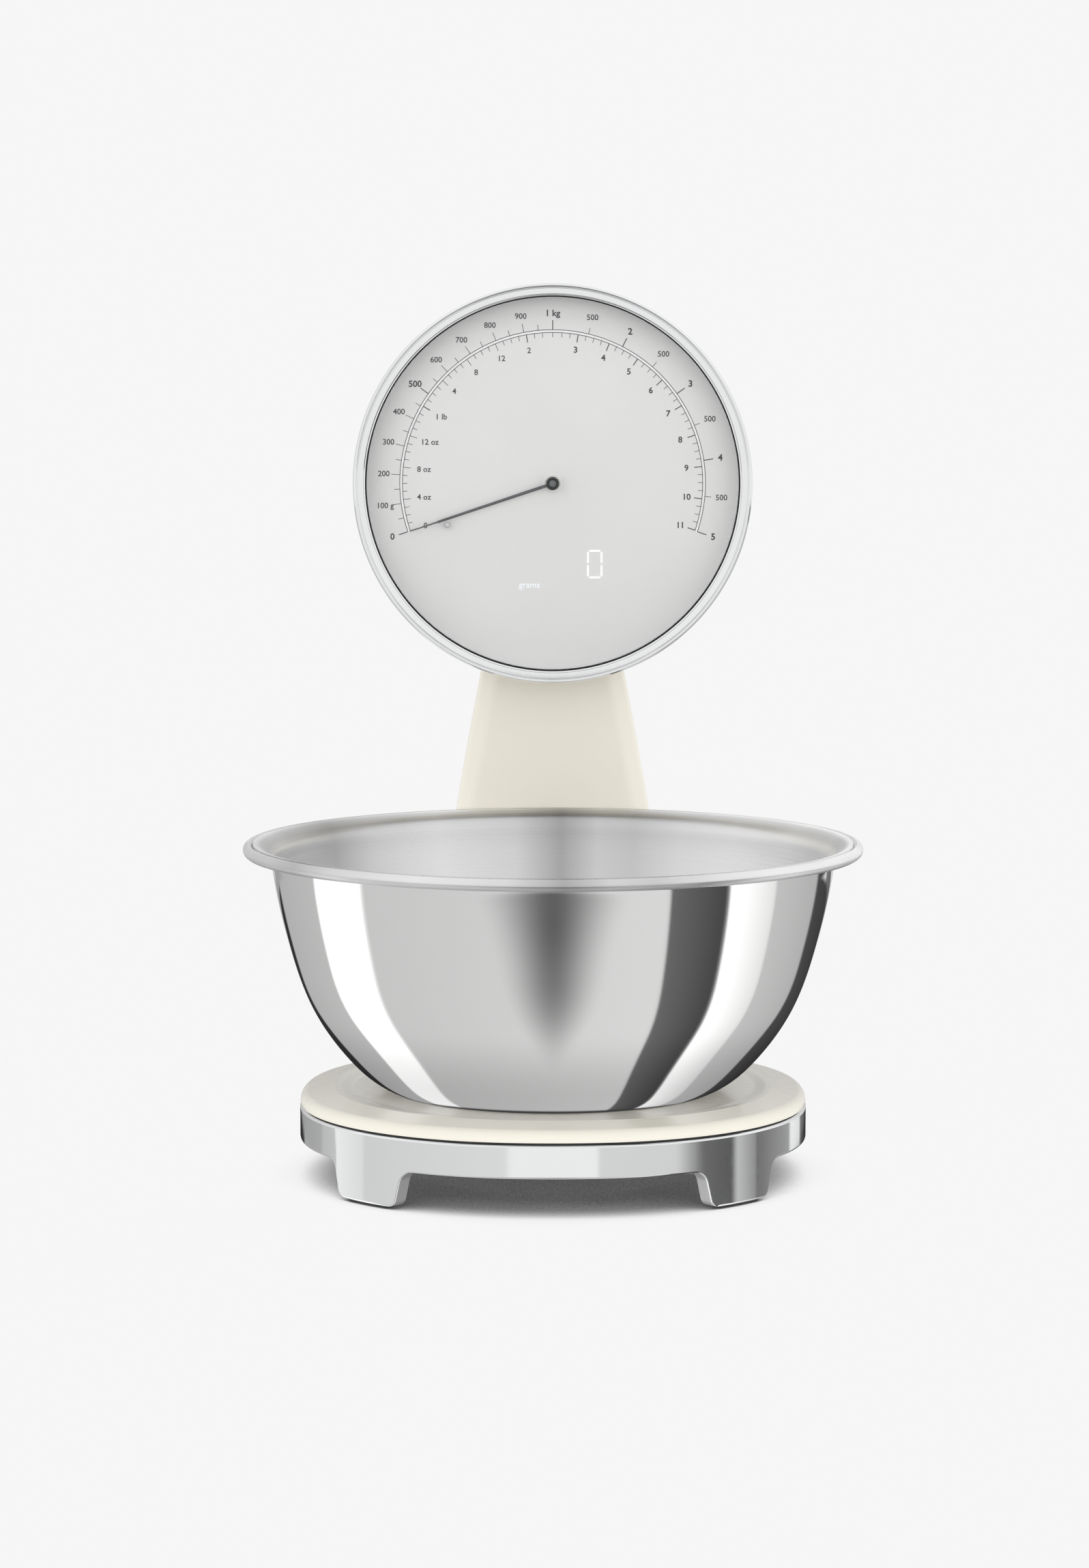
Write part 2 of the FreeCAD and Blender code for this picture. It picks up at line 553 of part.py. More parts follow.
def make_fasteners():
    seat = "TrayLow"
    on_table("tray_screws", screws("TrayScrew", LUGS + DECK_LUGS, seat, "LugHigh - 1"))
    on_table("load_cell_screws_lower",
             screws("LowBolt", LOW_BOLTS, seat, f"{BAR_LOW} + 5", "BoltCore"))
    on_table("load_cell_screws_upper",
             screws("TopBolt", TOP_BOLTS, CARRIER_TOP, f"{BAR_TOP} - 5",
                    "BoltCore", "ThinHead"))
    on_table("column_frame_screws",
             screws("FlangeBolt", FLANGE_BOLTS, "SkirtTop - DeckThick", "SkirtTop + FlangeThick", "BoltCore"))


BAR_LOW = "(TrayLow + TrayThick + SpacerLow)"
BAR_TOP = f"({BAR_LOW} + CellBarHigh)"
CARRIER_LOW = f"({BAR_TOP} + SpacerUp)"
CARRIER_TOP = f"({CARRIER_LOW} + CarrierThick)"


def make_load_cell():
    """Bending-beam load cell: the left end is bolted to the tray, the right end carries the plate."""
    width = ("-CellBarWide / 2", "CellBarWide / 2")
    blank = slab("BarBlank", ("-CellBarHalf", "CellBarHalf"), width, (BAR_LOW, BAR_TOP))
    middle = f"{BAR_LOW} + CellBarHigh / 2"
    eyes = [bar(f"Eye{index}", "EyeRadius", ("-CellBarWide", "CellBarWide"), x, middle, "y")
            for index, x in enumerate(("-EyeApart", "EyeApart"))]
    neck = slab("EyeNeck", ("-EyeApart", "EyeApart"), ("-CellBarWide", "CellBarWide"),
                (f"{middle} - EyeRadius / 3", f"{middle} + EyeRadius / 3"))
    left = holes("BarHoleLow", LOW_BOLTS, "BoltCore", (BAR_LOW, f"{BAR_LOW} + 5"))
    right = holes("BarHoleTop", TOP_BOLTS, "BoltCore", (f"{BAR_TOP} - 5", BAR_TOP))
    on_table("load_cell", cut("LoadCell", blank, *eyes, neck, *left, *right))

    low = (f"{BAR_LOW} - SpacerLow", BAR_LOW)
    plate = slab("SpacerLowPlate", ("-CellBarHalf", "SpacerLong - CellBarHalf"), width, low)
    on_table("load_cell_spacer_lower",
             cut("SpacerLower", plate, *holes("SpacerHoleLow", LOW_BOLTS, "BoltCore", low)))
    top = (BAR_TOP, CARRIER_LOW)
    plate = slab("SpacerTopPlate", ("CellBarHalf - SpacerLong", "CellBarHalf"), width, top)
    on_table("load_cell_spacer_upper",
             cut("SpacerUpper", plate, *holes("SpacerHoleTop", TOP_BOLTS, "BoltCore", top)))
    on_table("strain_gauge_potting",
             slab("Potting", ("-PottingHalf", "PottingHalf"),
                  ("CellBarWide / 2", "CellBarWide / 2 + PottingThick"),
                  (f"{BAR_LOW} + PottingInset", f"{BAR_TOP} - PottingInset")))


def make_batteries():
    """Three cells lying along x, the middle one turned round, with a spring and a plate for each."""
    reach = "(BayHalfLong - ContactThick)"
    springs, plates = [], []
    for index, (row, way) in enumerate(((-1, 1), (0, -1), (1, 1))):
        y = f"BayY + {row} * CellPitch"
        nub_end = f"{way} * {reach}"
        shoulder = f"{way} * ({reach} - NubLong)"
        tail = f"{way} * ({reach} - NubLong - CellLong)"
        span = (tail, shoulder) if way > 0 else (shoulder, tail)
        tip = (shoulder, nub_end) if way > 0 else (nub_end, shoulder)
        can = bar(f"Can{index}", "CellRadius", span, y, "CellHigh")
        nub = bar(f"Nub{index}", "NubRadius", tip, y, "CellHigh")
        on_table(f"battery_{index + 1}", fused(f"Cell{index}", can, nub))
        for side in (-1, 1):
            ends = (reach, "BayHalfLong") if side > 0 else ("-BayHalfLong", f"-{reach}")
            label = "Right" if side > 0 else "Left"
            plates.append(slab(f"Contact{index}{label}", ends,
                               (f"{y} - ContactHalf", f"{y} + ContactHalf"),
                               ("CellHigh - ContactHalf", "CellHigh + ContactHalf")))
        springs.append(leaf_spring(-way * number(reach), number(tail), number(y), number("CellHigh")))
    on_table("battery_contacts", group("Contacts", plates))
    set_shape("battery_springs", Part.makeCompound(springs))


def leaf_spring(wall, cell_end, y, z):
    """A bent strip that lies on the bay's contact and leans out to the flat end of a cell."""
    way = 1 if cell_end > wall else -1
    reach, tall = abs(cell_end - wall), number("ContactHalf")
    thick, nose = number("StripThick"), number("StripNose")
    profile = [(0, -tall), (0, tall), (reach, nose), (reach, -nose), (reach - thick, -nose),
               (reach - thick, nose - thick), (thick, tall - 2 * thick), (thick, -tall)]
    corners = [Vector(wall + way * along, y - number("StripHalf"), z + up) for along, up in profile]
    face = Part.Face(Part.makePolygon(corners + corners[:1]))
    return face.extrude(Vector(0, 2 * number("StripHalf"), 0))


def make_battery_door():
    """Flat door that slides back along the tray's rails, with grip ribs on its outside."""
    body = new_body("BatteryDoor")
    plan = new_sketch(body, "DoorPlan", height="DoorLow")
    draw_box(plan, ("-DoorHalfLong", "DoorHalfLong"), ("BayY - DoorHalfWide", "BayY + DoorHalfWide"))
    pad(body, plan, "DoorPlate", "DoorThick")
    rib = new_sketch(body, "GripPlan", height="DoorLow")
    draw_box(rib, ("-GripHalf", "GripHalf"),
             ("BayY - DoorHalfWide + GripPitch", "BayY - DoorHalfWide + 1.5 * GripPitch"))
    feature = pad(body, rib, "GripRib", "GripHigh", reverse=True)
    pattern = body.newObject("PartDesign::LinearPattern", "GripRibs")
    pattern.Originals = [feature]
    axis = [item for item in body.Origin.OriginFeatures if item.Role == "Y_Axis"][0]
    pattern.Direction = (axis, [""])
    bind(pattern, Length="GripPitch * (GripCount - 1)", Occurrences="GripCount")
    body.Tip = pattern
    on_table("battery_door", body)


def make_base_board():
    low = "TrayLow + TrayThick + BoardUp"
    top = f"{low} + BoardThick"
    board = slab("BaseBoard", ("BoardX - BoardHalfX", "BoardX + BoardHalfX"),
                 ("BoardY - BoardHalfY", "BoardY + BoardHalfY"), (low, top))
    chip = slab("BaseChip", ("BoardX", "BoardX + BoardHalfX / 2"),
                ("BoardY - BoardHalfY / 2", "BoardY + BoardHalfY / 3"), (top, f"{top} + BoardThick"))
    plug = slab("BasePlug", ("PlugX - PlugHalf", "PlugX + PlugHalf"),
                ("BoardY + BoardHalfY - 8", "PlugY"), (top, "CableHigh + CableRadius"))
    on_table("weigh_board", fused("WeighBoard", board, chip, plug))


def make_dust_seal():
    """Black strip in the base ring's rebate, under the plate's edge."""
    body = new_body("DustSeal")
    plan = new_sketch(body, "SealPlan", height="SkirtTop - SealDeep")
    draw_outline(plan, "BaseHalf", "LipWide")
    draw_outline(plan, "BaseHalf", "LipWide + SealWide")
    pad(body, plan, "Seal", "SealDeep + SealProud")
    on_table("dust_seal", body)


def make_cable():
    """Cable from the base board back under the deck, then up the column: two runs and one bend."""
    x, y, low, top = number("PlugX"), number("CableY"), number("CableHigh"), number("CableTop")
    start, bend = number("PlugY"), number("CableBend")
    corner = Vector(x, y - bend * (1 - math.sqrt(0.5)), low + bend * (1 - math.sqrt(0.5)))
    runs = [Part.LineSegment(Vector(x, start, low), Vector(x, y - bend, low)),
            Part.Arc(Vector(x, y - bend, low), corner, Vector(x, y, low + bend)),
            Part.LineSegment(Vector(x, y, low + bend), Vector(x, y, top))]
    path = Part.Wire([run.toShape() for run in runs])
    section = Part.Wire(Part.makeCircle(number("CableRadius"), Vector(x, start, low), Vector(0, 1, 0)))
    tube = path.makePipeShell([section], True, True)
    expected = path.Length * math.pi * number("CableRadius") ** 2
    print(f"cable: length {path.Length:.1f}, bend radius {bend:.0f},",
          f"volume ratio {tube.Volume / expected:.4f}")
    set_shape("cable_harness", tube)


# ---------------------------------------------------------------------------------------------
# Plate and bowl
# ---------------------------------------------------------------------------------------------

def make_weighing_plate():
    """Rounded plate with a pillow edge, hollow underneath, dished where the bowl stands."""
    body = new_body("WeighingPlate")
    plan = new_sketch(body, "PlatePlan", height="PlateLow")
    draw_outline(plan, "PlateHalf")
    block = pad(body, plan, "PlateBlock", "PlateTop - PlateLow")
    top = number("PlateTop")
    round_edges(body, "PillowEdge", block, "PlateRound",
                lambda edge: edge.BoundBox.ZMin > top - 0.01)
    under = new_sketch(body, "UnderPlan", height="PlateLow")
    draw_outline(under, "PlateHalf", "PlateWall")
    pocket(body, under, "Under", "PlateUnder - PlateLow", upwards=True)
    seat = new_sketch(body, "SeatPlan", height="PlateTop")
    draw_circle(seat, "SeatRadius")
    pocket(body, seat, "Seat", "PlateTop - SeatHigh")
    on_table("weighing_plate", body)

    arms = fused("CarrierArms",
                 slab("ArmX", ("-CarrierHalf", "CarrierHalf"), ("-CarrierWide / 2", "CarrierWide / 2"),
                      (CARRIER_LOW, CARRIER_TOP)),
                 slab("ArmY", ("-CarrierWide / 2", "CarrierWide / 2"), ("-CarrierHalf", "CarrierHalf"),
                      (CARRIER_LOW, CARRIER_TOP)))
    on_table("plate_carrier",
             cut("Carrier", arms, *holes("CarrierHole", TOP_BOLTS, "BoltCore",
                                         (CARRIER_LOW, CARRIER_TOP))))
    spots = [("CarrierPadPlace", 0), ("-CarrierPadPlace", 0), (0, "CarrierPadPlace"), (0, "-CarrierPadPlace")]
    on_table("carrier_pads",
             group("CarrierPads",
                   holes("CarrierPad", spots, "CarrierPadRadius", (CARRIER_TOP, "PlateUnder"))))


def make_bowl():
    """Thin steel bowl turned about the weighing axis, its rim rolled outwards into a tube.

    The outside of its wall is a chain of tangent arcs, and the inside has the same centres.
    """
    seat, thick = number("SeatHigh"), number("BowlThick")
    heel = (number("BowlHeel"), number("BowlHeelUp"))
    wall_top = (number("BowlWallTop"), number("BowlWallTopUp"))
    rim = Vector(number("RimCentre"), 0, number("RimHigh"))
    rim_radius = number("RimRadius")
    outside = [Vector(number("BowlFoot"), 0, seat)]
    outside += [Vector(radius, 0, seat + up) for radius, up in [heel] + BOWL_WALL + [wall_top]]
    outside.append(rim + Vector(RIM_LANDING - rim_radius, 0, -RIM_DROP))
    wall = Part.BSplineCurve()
    wall.interpolate(outside, InitialTangent=FOOT_WAY, FinalTangent=LIP_WAY)
    outer, inner = [], []
    for arc in wall.toBiArcs(ARC_FIT):
        first, last = arc.FirstParameter, arc.LastParameter
        points = [(arc.value(place), arc.tangent(place)[0]) for place in (first, (first + last) / 2, last)]
        outer.append(Part.Arc(*[point for point, along in points]).toShape())
        inner.append(Part.Arc(*[point + Vector(-along.z, 0, along.x) * thick for point, along in points])
                     .toShape())
    outer_start, outer_end = outer[0].Vertexes[0].Point, outer[-1].Vertexes[-1].Point
    inner_start, inner_end = inner[0].Vertexes[0].Point, inner[-1].Vertexes[-1].Point
    low_outer, low_inner = Vector(0, 0, outer_start.z), Vector(0, 0, inner_start.z)
    edges = outer + inner
    edges += [Part.makeLine(*ends) for ends in (
        (low_outer, outer_start), (outer_end, inner_end), (inner_start, low_inner), (low_inner, low_outer))]
    section = Part.Wire(Part.__sortEdges__(edges))
    shell = Part.Face(section).revolve(Vector(0, 0, 0), Vector(0, 0, 1), 360)
    roll = Part.makeTorus(rim.x, rim_radius, Vector(0, 0, rim.z))
    bowl = shell.fuse(roll)
    set_shape("bowl", bowl.Solids[0])


# ---------------------------------------------------------------------------------------------
# Column
# ---------------------------------------------------------------------------------------------

def column_loft(body, name, kind, inset, front_inset, back, low, top):
    """A tapering block through three levels of the column, drawn in by inset at both sides.

    With a front inset its front corners are bevelled; without one it lies behind the shells' joint.
    """
    levels = ((low, "ColumnLowHalf", "ColumnLowFront"), ("ColumnMid", "ColumnMidHalf", "ColumnFront"),
              (top, "ColumnTopHalf", "ColumnFront"))
    sketches = []
    for index, (height, half, front) in enumerate(levels):
        sketch = new_sketch(body, f"{name}Level{index}", height=height)
        side, near = f"({half} - {inset})", f"{front} + {front_inset}"
        if front_inset is None:
            draw_box(sketch, (f"-{side}", side), ("ColumnSplit", back))
        else:
            draw_polygon(sketch, [
                (f"-{side}", back), (f"-{side}", f"{near} + ColumnRound / 2"),
                (f"ColumnRound - {side}", near), (f"{side} - ColumnRound", near),
                (side, f"{near} + ColumnRound / 2"), (side, back)])
        sketches.append(sketch)
    feature = body.newObject(kind, name)
    feature.Profile = sketches[0]
    feature.Sections = sketches[1:]
    feature.Ruled = True
    return feature


def cut_for_drum(body, name):
    """Hollows the top of a column piece to the drum it carries."""
    sketch = new_sketch(body, name + "Plan", "XZ_Plane", "-2 * ColumnBack")
    draw_circle(sketch, "DrumRadius", 0, "DialHigh")
    return pocket(body, sketch, name, "2 * ColumnBack", upwards=True)


def make_column():
    body = new_body("ColumnFront")
    column_loft(body, "FrontBlock", "PartDesign::AdditiveLoft", 0, 0, "ColumnSplit", "SkirtTop", "ColumnTop")
    column_loft(body, "FrontRoom", "PartDesign::SubtractiveLoft", "ColumnWall", "ColumnWall",
                "ColumnSplit", "SkirtTop", "ColumnTop")
    cut_for_drum(body, "FrontSaddle")
    on_table("column_front_shell", body)

    body = new_body("ColumnRear")
    column_loft(body, "RearBlock", "PartDesign::AdditiveLoft", 0, None, "ColumnBack", "SkirtTop", "ColumnTop")
    column_loft(body, "RearRoom", "PartDesign::SubtractiveLoft", "ColumnWall", None,
                "ColumnBack - ColumnWall", "SkirtTop", "ColumnTop")
    cut_for_drum(body, "RearSaddle")
    bosses = new_sketch(body, "RearBossPlan", "XZ_Plane", "-(ColumnBack - ColumnWall)")
    drills = new_sketch(body, "RearDrillPlan", "XZ_Plane", "-ColumnBack")
    heads = new_sketch(body, "RearHeadPlan", "XZ_Plane", "-ColumnBack")
    for x in ("-RearBossX", "RearBossX"):
        for z in ("RearBossLow", "RearBossHigh"):
            draw_circle(bosses, "RearBossRadius", x, z)
            draw_circle(drills, "ScrewCore", x, z)
            draw_circle(heads, "ScrewHead", x, z)
    pad(body, bosses, "RearBosses", "ColumnBack - ColumnWall - FrameFront - FrameThick")
    pocket(body, drills, "RearDrills", "ColumnBack - FrameFront - FrameThick", upwards=True)
    pocket(body, heads, "RearHeadRooms", "HeadHigh", upwards=True)
    on_table("column_rear_shell", body)

    upright = slab("FrameUpright", ("-FrameHalf", "FrameHalf"), ("FrameFront", "FrameFront + FrameThick"),
                   ("SkirtTop", "FrameTop"))
    flange = slab("FrameFlange", ("-FlangeHalf", "FlangeHalf"), ("FlangeFront", "FrameFront"),
                  ("SkirtTop", "SkirtTop + FlangeThick"))
    drilled = holes("FlangeHole", FLANGE_BOLTS, "BoltCore", ("SkirtTop", "SkirtTop + FlangeThick"))
    head_spots = [(x, "DialHigh + HeadScrewY") for x in ("-HeadScrewX", "HeadScrewX")]
    for index, (x, z) in enumerate(REAR_BOSSES + head_spots):
        drilled.append(bar(f"FrameHole{index}", "ScrewCore",
                           ("FrameFront", "FrameFront + FrameThick"), x, z, "y"))
    on_table("column_frame", cut("Frame", fused("FrameSolid", upright, flange), *drilled))

    rear = []
    for index, (x, z) in enumerate(REAR_BOSSES):
        head = bar(f"RearScrewHead{index}", "ScrewHead", ("ColumnBack - HeadHigh", "ColumnBack"), x, z, "y")
        shank = bar(f"RearScrewShank{index}", "ScrewCore", ("FrameFront", "ColumnBack - HeadHigh"), x, z, "y")
        slot = slab(f"RearScrewSlot{index}", (f"{x} - ScrewHead", f"{x} + ScrewHead"),
                    ("ColumnBack - SlotDeep", "ColumnBack"), (f"{z} - SlotWide / 2", f"{z} + SlotWide / 2"))
        rear.append(cut(f"RearScrew{index}", fused(f"RearScrewSolid{index}", head, shank), slot))
    on_table("column_rear_screws", group("RearScrews", rear))


# ---------------------------------------------------------------------------------------------
# Dial head
# ---------------------------------------------------------------------------------------------

COVER_LUGS = four_corners("LugScrewAt", "LugScrewAt")


def ring(name, outer, inner, front, back):
    return cut(name, post(name + "Outer", outer, behind(front, back)),
               post(name + "Inner", inner, behind(front, back)))


def make_bezel_and_glass():
    """Chrome bezel with a thin outer lip, a flat band and a stepped inner edge, and what it holds."""
    body = new_body("Bezel")
    profile = new_sketch(body, "BezelProfile", "XZ_Plane")
    draw_polygon(profile, [
        ("GlassRadius", "-LensFront"), ("GlassRadius", "-StepDeep"), ("BezelBand - 0.4", "-StepDeep"),
        ("BezelBand", "-BandDeep"), ("BezelLip - 0.6", "-BandDeep"), ("BezelLip - 0.3", 0),
        ("BezelLip", 0), ("BezelRadius", "-LipDeep"), ("BezelRadius", "-DialBack"),
        ("BezelBore", "-DialBack"), ("BezelBore", "-LensFront")])
    revolution(body, profile, "BezelTurned")
    on_head("bezel", body)
    on_head("lens", post("Lens", "LensRadius", behind("LensFront", "LensBack")))
    on_head("lens_gasket", ring("Gasket", "BezelBore", "GlassRadius", "LensBack", "GasketBack"))
    on_head("spacer_ring", ring("Spacer", "BezelBore", "GlassRadius", "GasketBack", "DialFront"))


def make_dial():
    pin_x, pin_y = "PinAt * cos(PinAngle)", "PinAt * sin(PinAngle)"
    window = (("DigitX - WindowHalfX", "DigitX + WindowHalfX"),
              ("DigitY - WindowHalfY", "DigitY + WindowHalfY"))
    thick = behind("DialFront", "DialBack")
    plate = post("DialDisc", "BezelBore", thick)
    on_head("dial_plate",
            cut("DialPlate", plate, post("DialHole", "BushRadius", thick), slab("DialWindow", *window, thick),
                post("DialPinHole", "PinPeg", thick, pin_x, pin_y)))
    on_head("light_guide", slab("LightGuide", *window, thick))
    barrel = post("BushBarrel", "BushRadius", thick)
    flange = post("BushCollar", "BushFlange", behind("BushFront", "DialFront"))
    bore = post("BushBore", "ShaftRadius + RunGap", behind("BushFront", "DialBack"))
    on_head("dial_bushing", cut("Bushing", fused("BushSolid", barrel, flange), bore))
    on_head("rest_pin",
            fused("RestPin", post("PinHeadRod", "PinHead", behind("PinFront", "DialFront"), pin_x, pin_y),
                  post("PinPegRod", "PinPeg", thick, pin_x, pin_y)))


def make_drum():
    """Drum with a front flange for the bezel, lugs for chassis and cover, and the column's entry."""
    body = new_body("Drum")
    profile = new_sketch(body, "DrumProfile", "XZ_Plane")
    draw_polygon(profile, [
        ("DrumBore", "-DialBack"), ("FlangeRadius", "-DialBack"), ("FlangeRadius", "-FlangeBack"),
        ("DrumRadius", "-FlangeBack"), ("DrumRadius", "-DrumBack"), ("DrumBore", "-DrumBack")])
    revolution(body, profile, "DrumWall")
    features = []
    for name, front in (("FrontLug", "-ChassisBack"), ("BackLug", "-(DrumBack - LugDeep)")):
        sketch = new_sketch(body, name + "Plan", height=front)
        for x, y in COVER_LUGS:
            draw_circle(sketch, "LugHalf", x, y)
        features.append(pad(body, sketch, name + "s", "LugDeep", reverse=True))
    block = new_sketch(body, "FootBlockPlan", height="-HeadSlotBack")
    draw_box(block, ("-FrameHalf", "FrameHalf"), ("-(DrumBore - 0.5)", "HeadBlockTop"))
    pad(body, block, "FootBlock", "HeadBlockBack - HeadSlotBack", reverse=True)
    drills = new_sketch(body, "DrumDrillPlan", height=0)
    for x, y in COVER_LUGS:
        draw_circle(drills, "ScrewCore", x, y)
    pocket(body, drills, "DrumDrills", "DrumBack")
    foot_drills = new_sketch(body, "FootDrillPlan", height="-HeadSlotBack")
    for x in ("-HeadScrewX", "HeadScrewX"):
        draw_circle(foot_drills, "ScrewCore", x, "HeadScrewY")
    pocket(body, foot_drills, "FootDrills", "HeadBlockBack - HeadSlotBack - 1")
    entry = new_sketch(body, "EntryPlan", "XZ_Plane", "DrumRadius + 2")
    draw_box(entry, ("-HeadSlotHalf", "HeadSlotHalf"), ("-HeadSlotBack", "-HeadSlotFront"))
    draw_circle(entry, "CableRadius + 0.75", "PlugX", "HeadFront - CableY")
    pocket(body, entry, "Entry", "LugHalf * 2")
    on_head("drum_housing", body)

    cover = new_body("BackCover")
    plan = new_sketch(cover, "CoverPlan", height="-DrumBack")
    draw_circle(plan, "DrumRadius")
    for x in ("-SwitchX", "SwitchX"):
        draw_circle(plan, "ButtonRadius + ButtonGap", x, "SwitchY")
    for x, y in COVER_LUGS:
        draw_circle(plan, "ScrewCore", x, y)
    disc = pad(cover, plan, "CoverDisc", "CoverBack - DrumBack", reverse=True)
    rim, back = number("DrumRadius"), number("-CoverBack")
    round_edges(cover, "CoverEdge", disc, "CoverRound",
                lambda edge: edge.BoundBox.XLength > 2 * rim - 1 and abs(edge.BoundBox.ZMin - back) < 0.01)
    on_head("back_cover", cover)
    on_head("back_cover_screws", screws("CoverScrew", COVER_LUGS, "-CoverBack", "-(DrumBack - LugDeep)"))
    on_head("head_frame_screws",
            screws("HeadScrew", [("-HeadScrewX", "HeadScrewY"), ("HeadScrewX", "HeadScrewY")],
                   "HeadFront - FrameFront", "-(HeadBlockBack - 1)"))


def make_chassis():
    """Disc behind the dial that carries the motor, the display and the board."""
    disc = post("ChassisDisc", "ChassisRadius", behind("DialBack", "ChassisBack"))
    posts = holes("ChassisPost", four_corners("PostX", "PostY"), "PostRadius",
                  behind("ChassisBack", "HeadBoardFront"))
    through = behind("DialBack", "ChassisBack")
    window = slab("ChassisWindow", ("DigitX - DigitHalfX - TrayGap", "DigitX + DigitHalfX + TrayGap"),
                  ("DigitY - DigitHalfY - TrayGap", "DigitY + DigitHalfY + TrayGap"), through)
    centre = post("ChassisHole", "ShaftRadius + 0.5", through)
    sinks = holes("ChassisSink", COVER_LUGS, "ScrewHead", behind("DialBack", "DialBack + ThinHead"))
    drills = holes("ChassisDrill", COVER_LUGS, "ScrewCore", through)
    solid = fused("ChassisSolid", disc, *posts)
    on_head("head_chassis", cut("Chassis", solid, window, centre, *sinks, *drills))
    on_head("chassis_screws",
            screws("ChassisScrew", COVER_LUGS, "-(DialBack + ThinHead)", "-(ChassisBack + LugDeep - 1)",
                   "ScrewCore", "ThinHead"))

    board = slab("HeadBoard", ("-HeadBoardHalf", "HeadBoardHalf"), ("HeadBoardLow", "HeadBoardTop"),
                 behind("HeadBoardFront", "HeadBoardBack"))
    chip = slab("HeadChip", ("-SwitchHalf * 2", "SwitchHalf * 2"),
                ("PostY / 3", "PostY / 3 + SwitchHalf * 4"),
                behind("HeadBoardBack", "HeadBoardBack + BoardThick"))
    plug = slab("HeadPlug", ("PlugX - PlugHalf", "PlugX + PlugHalf"),
                ("CableTop - DialHigh", "CableTop - DialHigh + HeadPlugHigh"),
                behind("HeadBoardBack", "HeadPlugBack"))
    on_head("head_board", fused("HeadBoardSolid", board, chip, plug))
    display = slab("DisplayCan", ("DigitX - DigitHalfX", "DigitX + DigitHalfX"),
                   ("DigitY - DigitHalfY", "DigitY + DigitHalfY"), behind("DialBack", "DigitBack"))
    pins = [post(f"DisplayPin{row}{index}", "PinRadius", behind("DigitBack", "HeadBoardFront"),
                 f"DigitX + {index - 2} * PinPitch", f"DigitY + {way} * (DigitHalfY - 1)")
            for row, way in enumerate((-1, 1)) for index in range(5)]
    on_head("led_display", fused("Display", display, *pins))

    for label, side in (("tare", -1), ("unit", 1)):
        x = f"{side} * SwitchX"
        case = slab("SwitchCase" + label, (f"{x} - SwitchHalf", f"{x} + SwitchHalf"),
                    ("SwitchY - SwitchHalf", "SwitchY + SwitchHalf"), behind("HeadBoardBack", "SwitchBack"))
        plunger = post("Plunger" + label, "PlungerRadius", behind("SwitchBack", "PlungerBack"), x, "SwitchY")
        on_head("switch_" + label, fused("Switch" + label, case, plunger))
        cap = post("ButtonCap" + label, "ButtonRadius", behind("CollarBack", "CoverBack + ButtonProud"),
                   x, "SwitchY")
        collar = post("ButtonCollar" + label, "CollarRadius",
                      behind("CollarBack - CollarThick", "CollarBack"), x, "SwitchY")
        stem = post("ButtonStem" + label, "ButtonStem",
                    behind("ButtonFront", "CollarBack - CollarThick"), x, "SwitchY")
        on_head("button_" + label, fused("Button" + label, cap, collar, stem))


def make_pointer():
    """Two-width blade on a round hub, pressed on the output shaft. It rests just above the pin."""
    body = new_body("Pointer")
    blade = new_sketch(body, "BladePlan", height="-PointerBack")
    draw_polygon(blade, [
        ("-PointerRoot", 0), ("PointerRoot", 0), ("PointerHalf", "PointerStep"),
        ("PointerTip", "PointerStep + 0.5"), ("PointerTip", "PointerLong"),
        ("-PointerTip", "PointerLong"), ("-PointerTip", "PointerStep + 0.5"),
        ("-PointerHalf", "PointerStep")])
    pad(body, blade, "Blade", "PointerBack - PointerFront")
    hub = new_sketch(body, "HubPlan", height="-HubBack")
    draw_circle(hub, "HubRadius")
    pad(body, hub, "Hub", "HubBack - HubFront")
    bore = new_sketch(body, "HubBorePlan", height="-HubBack")
    draw_circle(bore, "ShaftRadius")
    pocket(body, bore, "HubBore", "HubBack - HubFront", upwards=True)
    on_head("pointer", body, number("PointerRest"))
    on_head("pointer_cap", post("PointerCap", "CapRadius", behind("CapFront", "HubFront")))


# ---------------------------------------------------------------------------------------------
# Pointer motor
# ---------------------------------------------------------------------------------------------

IDLER_Y = "ToothSize * (OutputTeeth + PinionTeeth) / 2"
ROTOR_Y = f"({IDLER_Y} + FineToothSize * (IdlerTeeth + RotorTeeth) / 2)"


def gear_wheel(size, teeth, front, back, y=0, turn=0):
    """An involute spur wheel, its first tooth turned from the x axis, thinned a little for backlash."""
    outline = fcgear.FCWireBuilder()
    involute.CreateExternalGear(outline, number(size), int(number(teeth)), 20, split=False,
                                shiftCoeff=number("ToothShift"))
    face = Part.Face(Part.Wire([item.toShape() for item in outline.wire]))
    wheel = face.extrude(Vector(0, 0, number(f"({back}) - ({front})")))
    wheel.Placement = Placement(Vector(0, number(y), -number(back)), Rotation(Vector(0, 0, 1), turn))
    return wheel


def rod(radius, front, back, y=0):
    foot = Vector(0, number(y), -number(back))
    return Part.makeCylinder(number(radius), number(f"({back}) - ({front})"), foot)


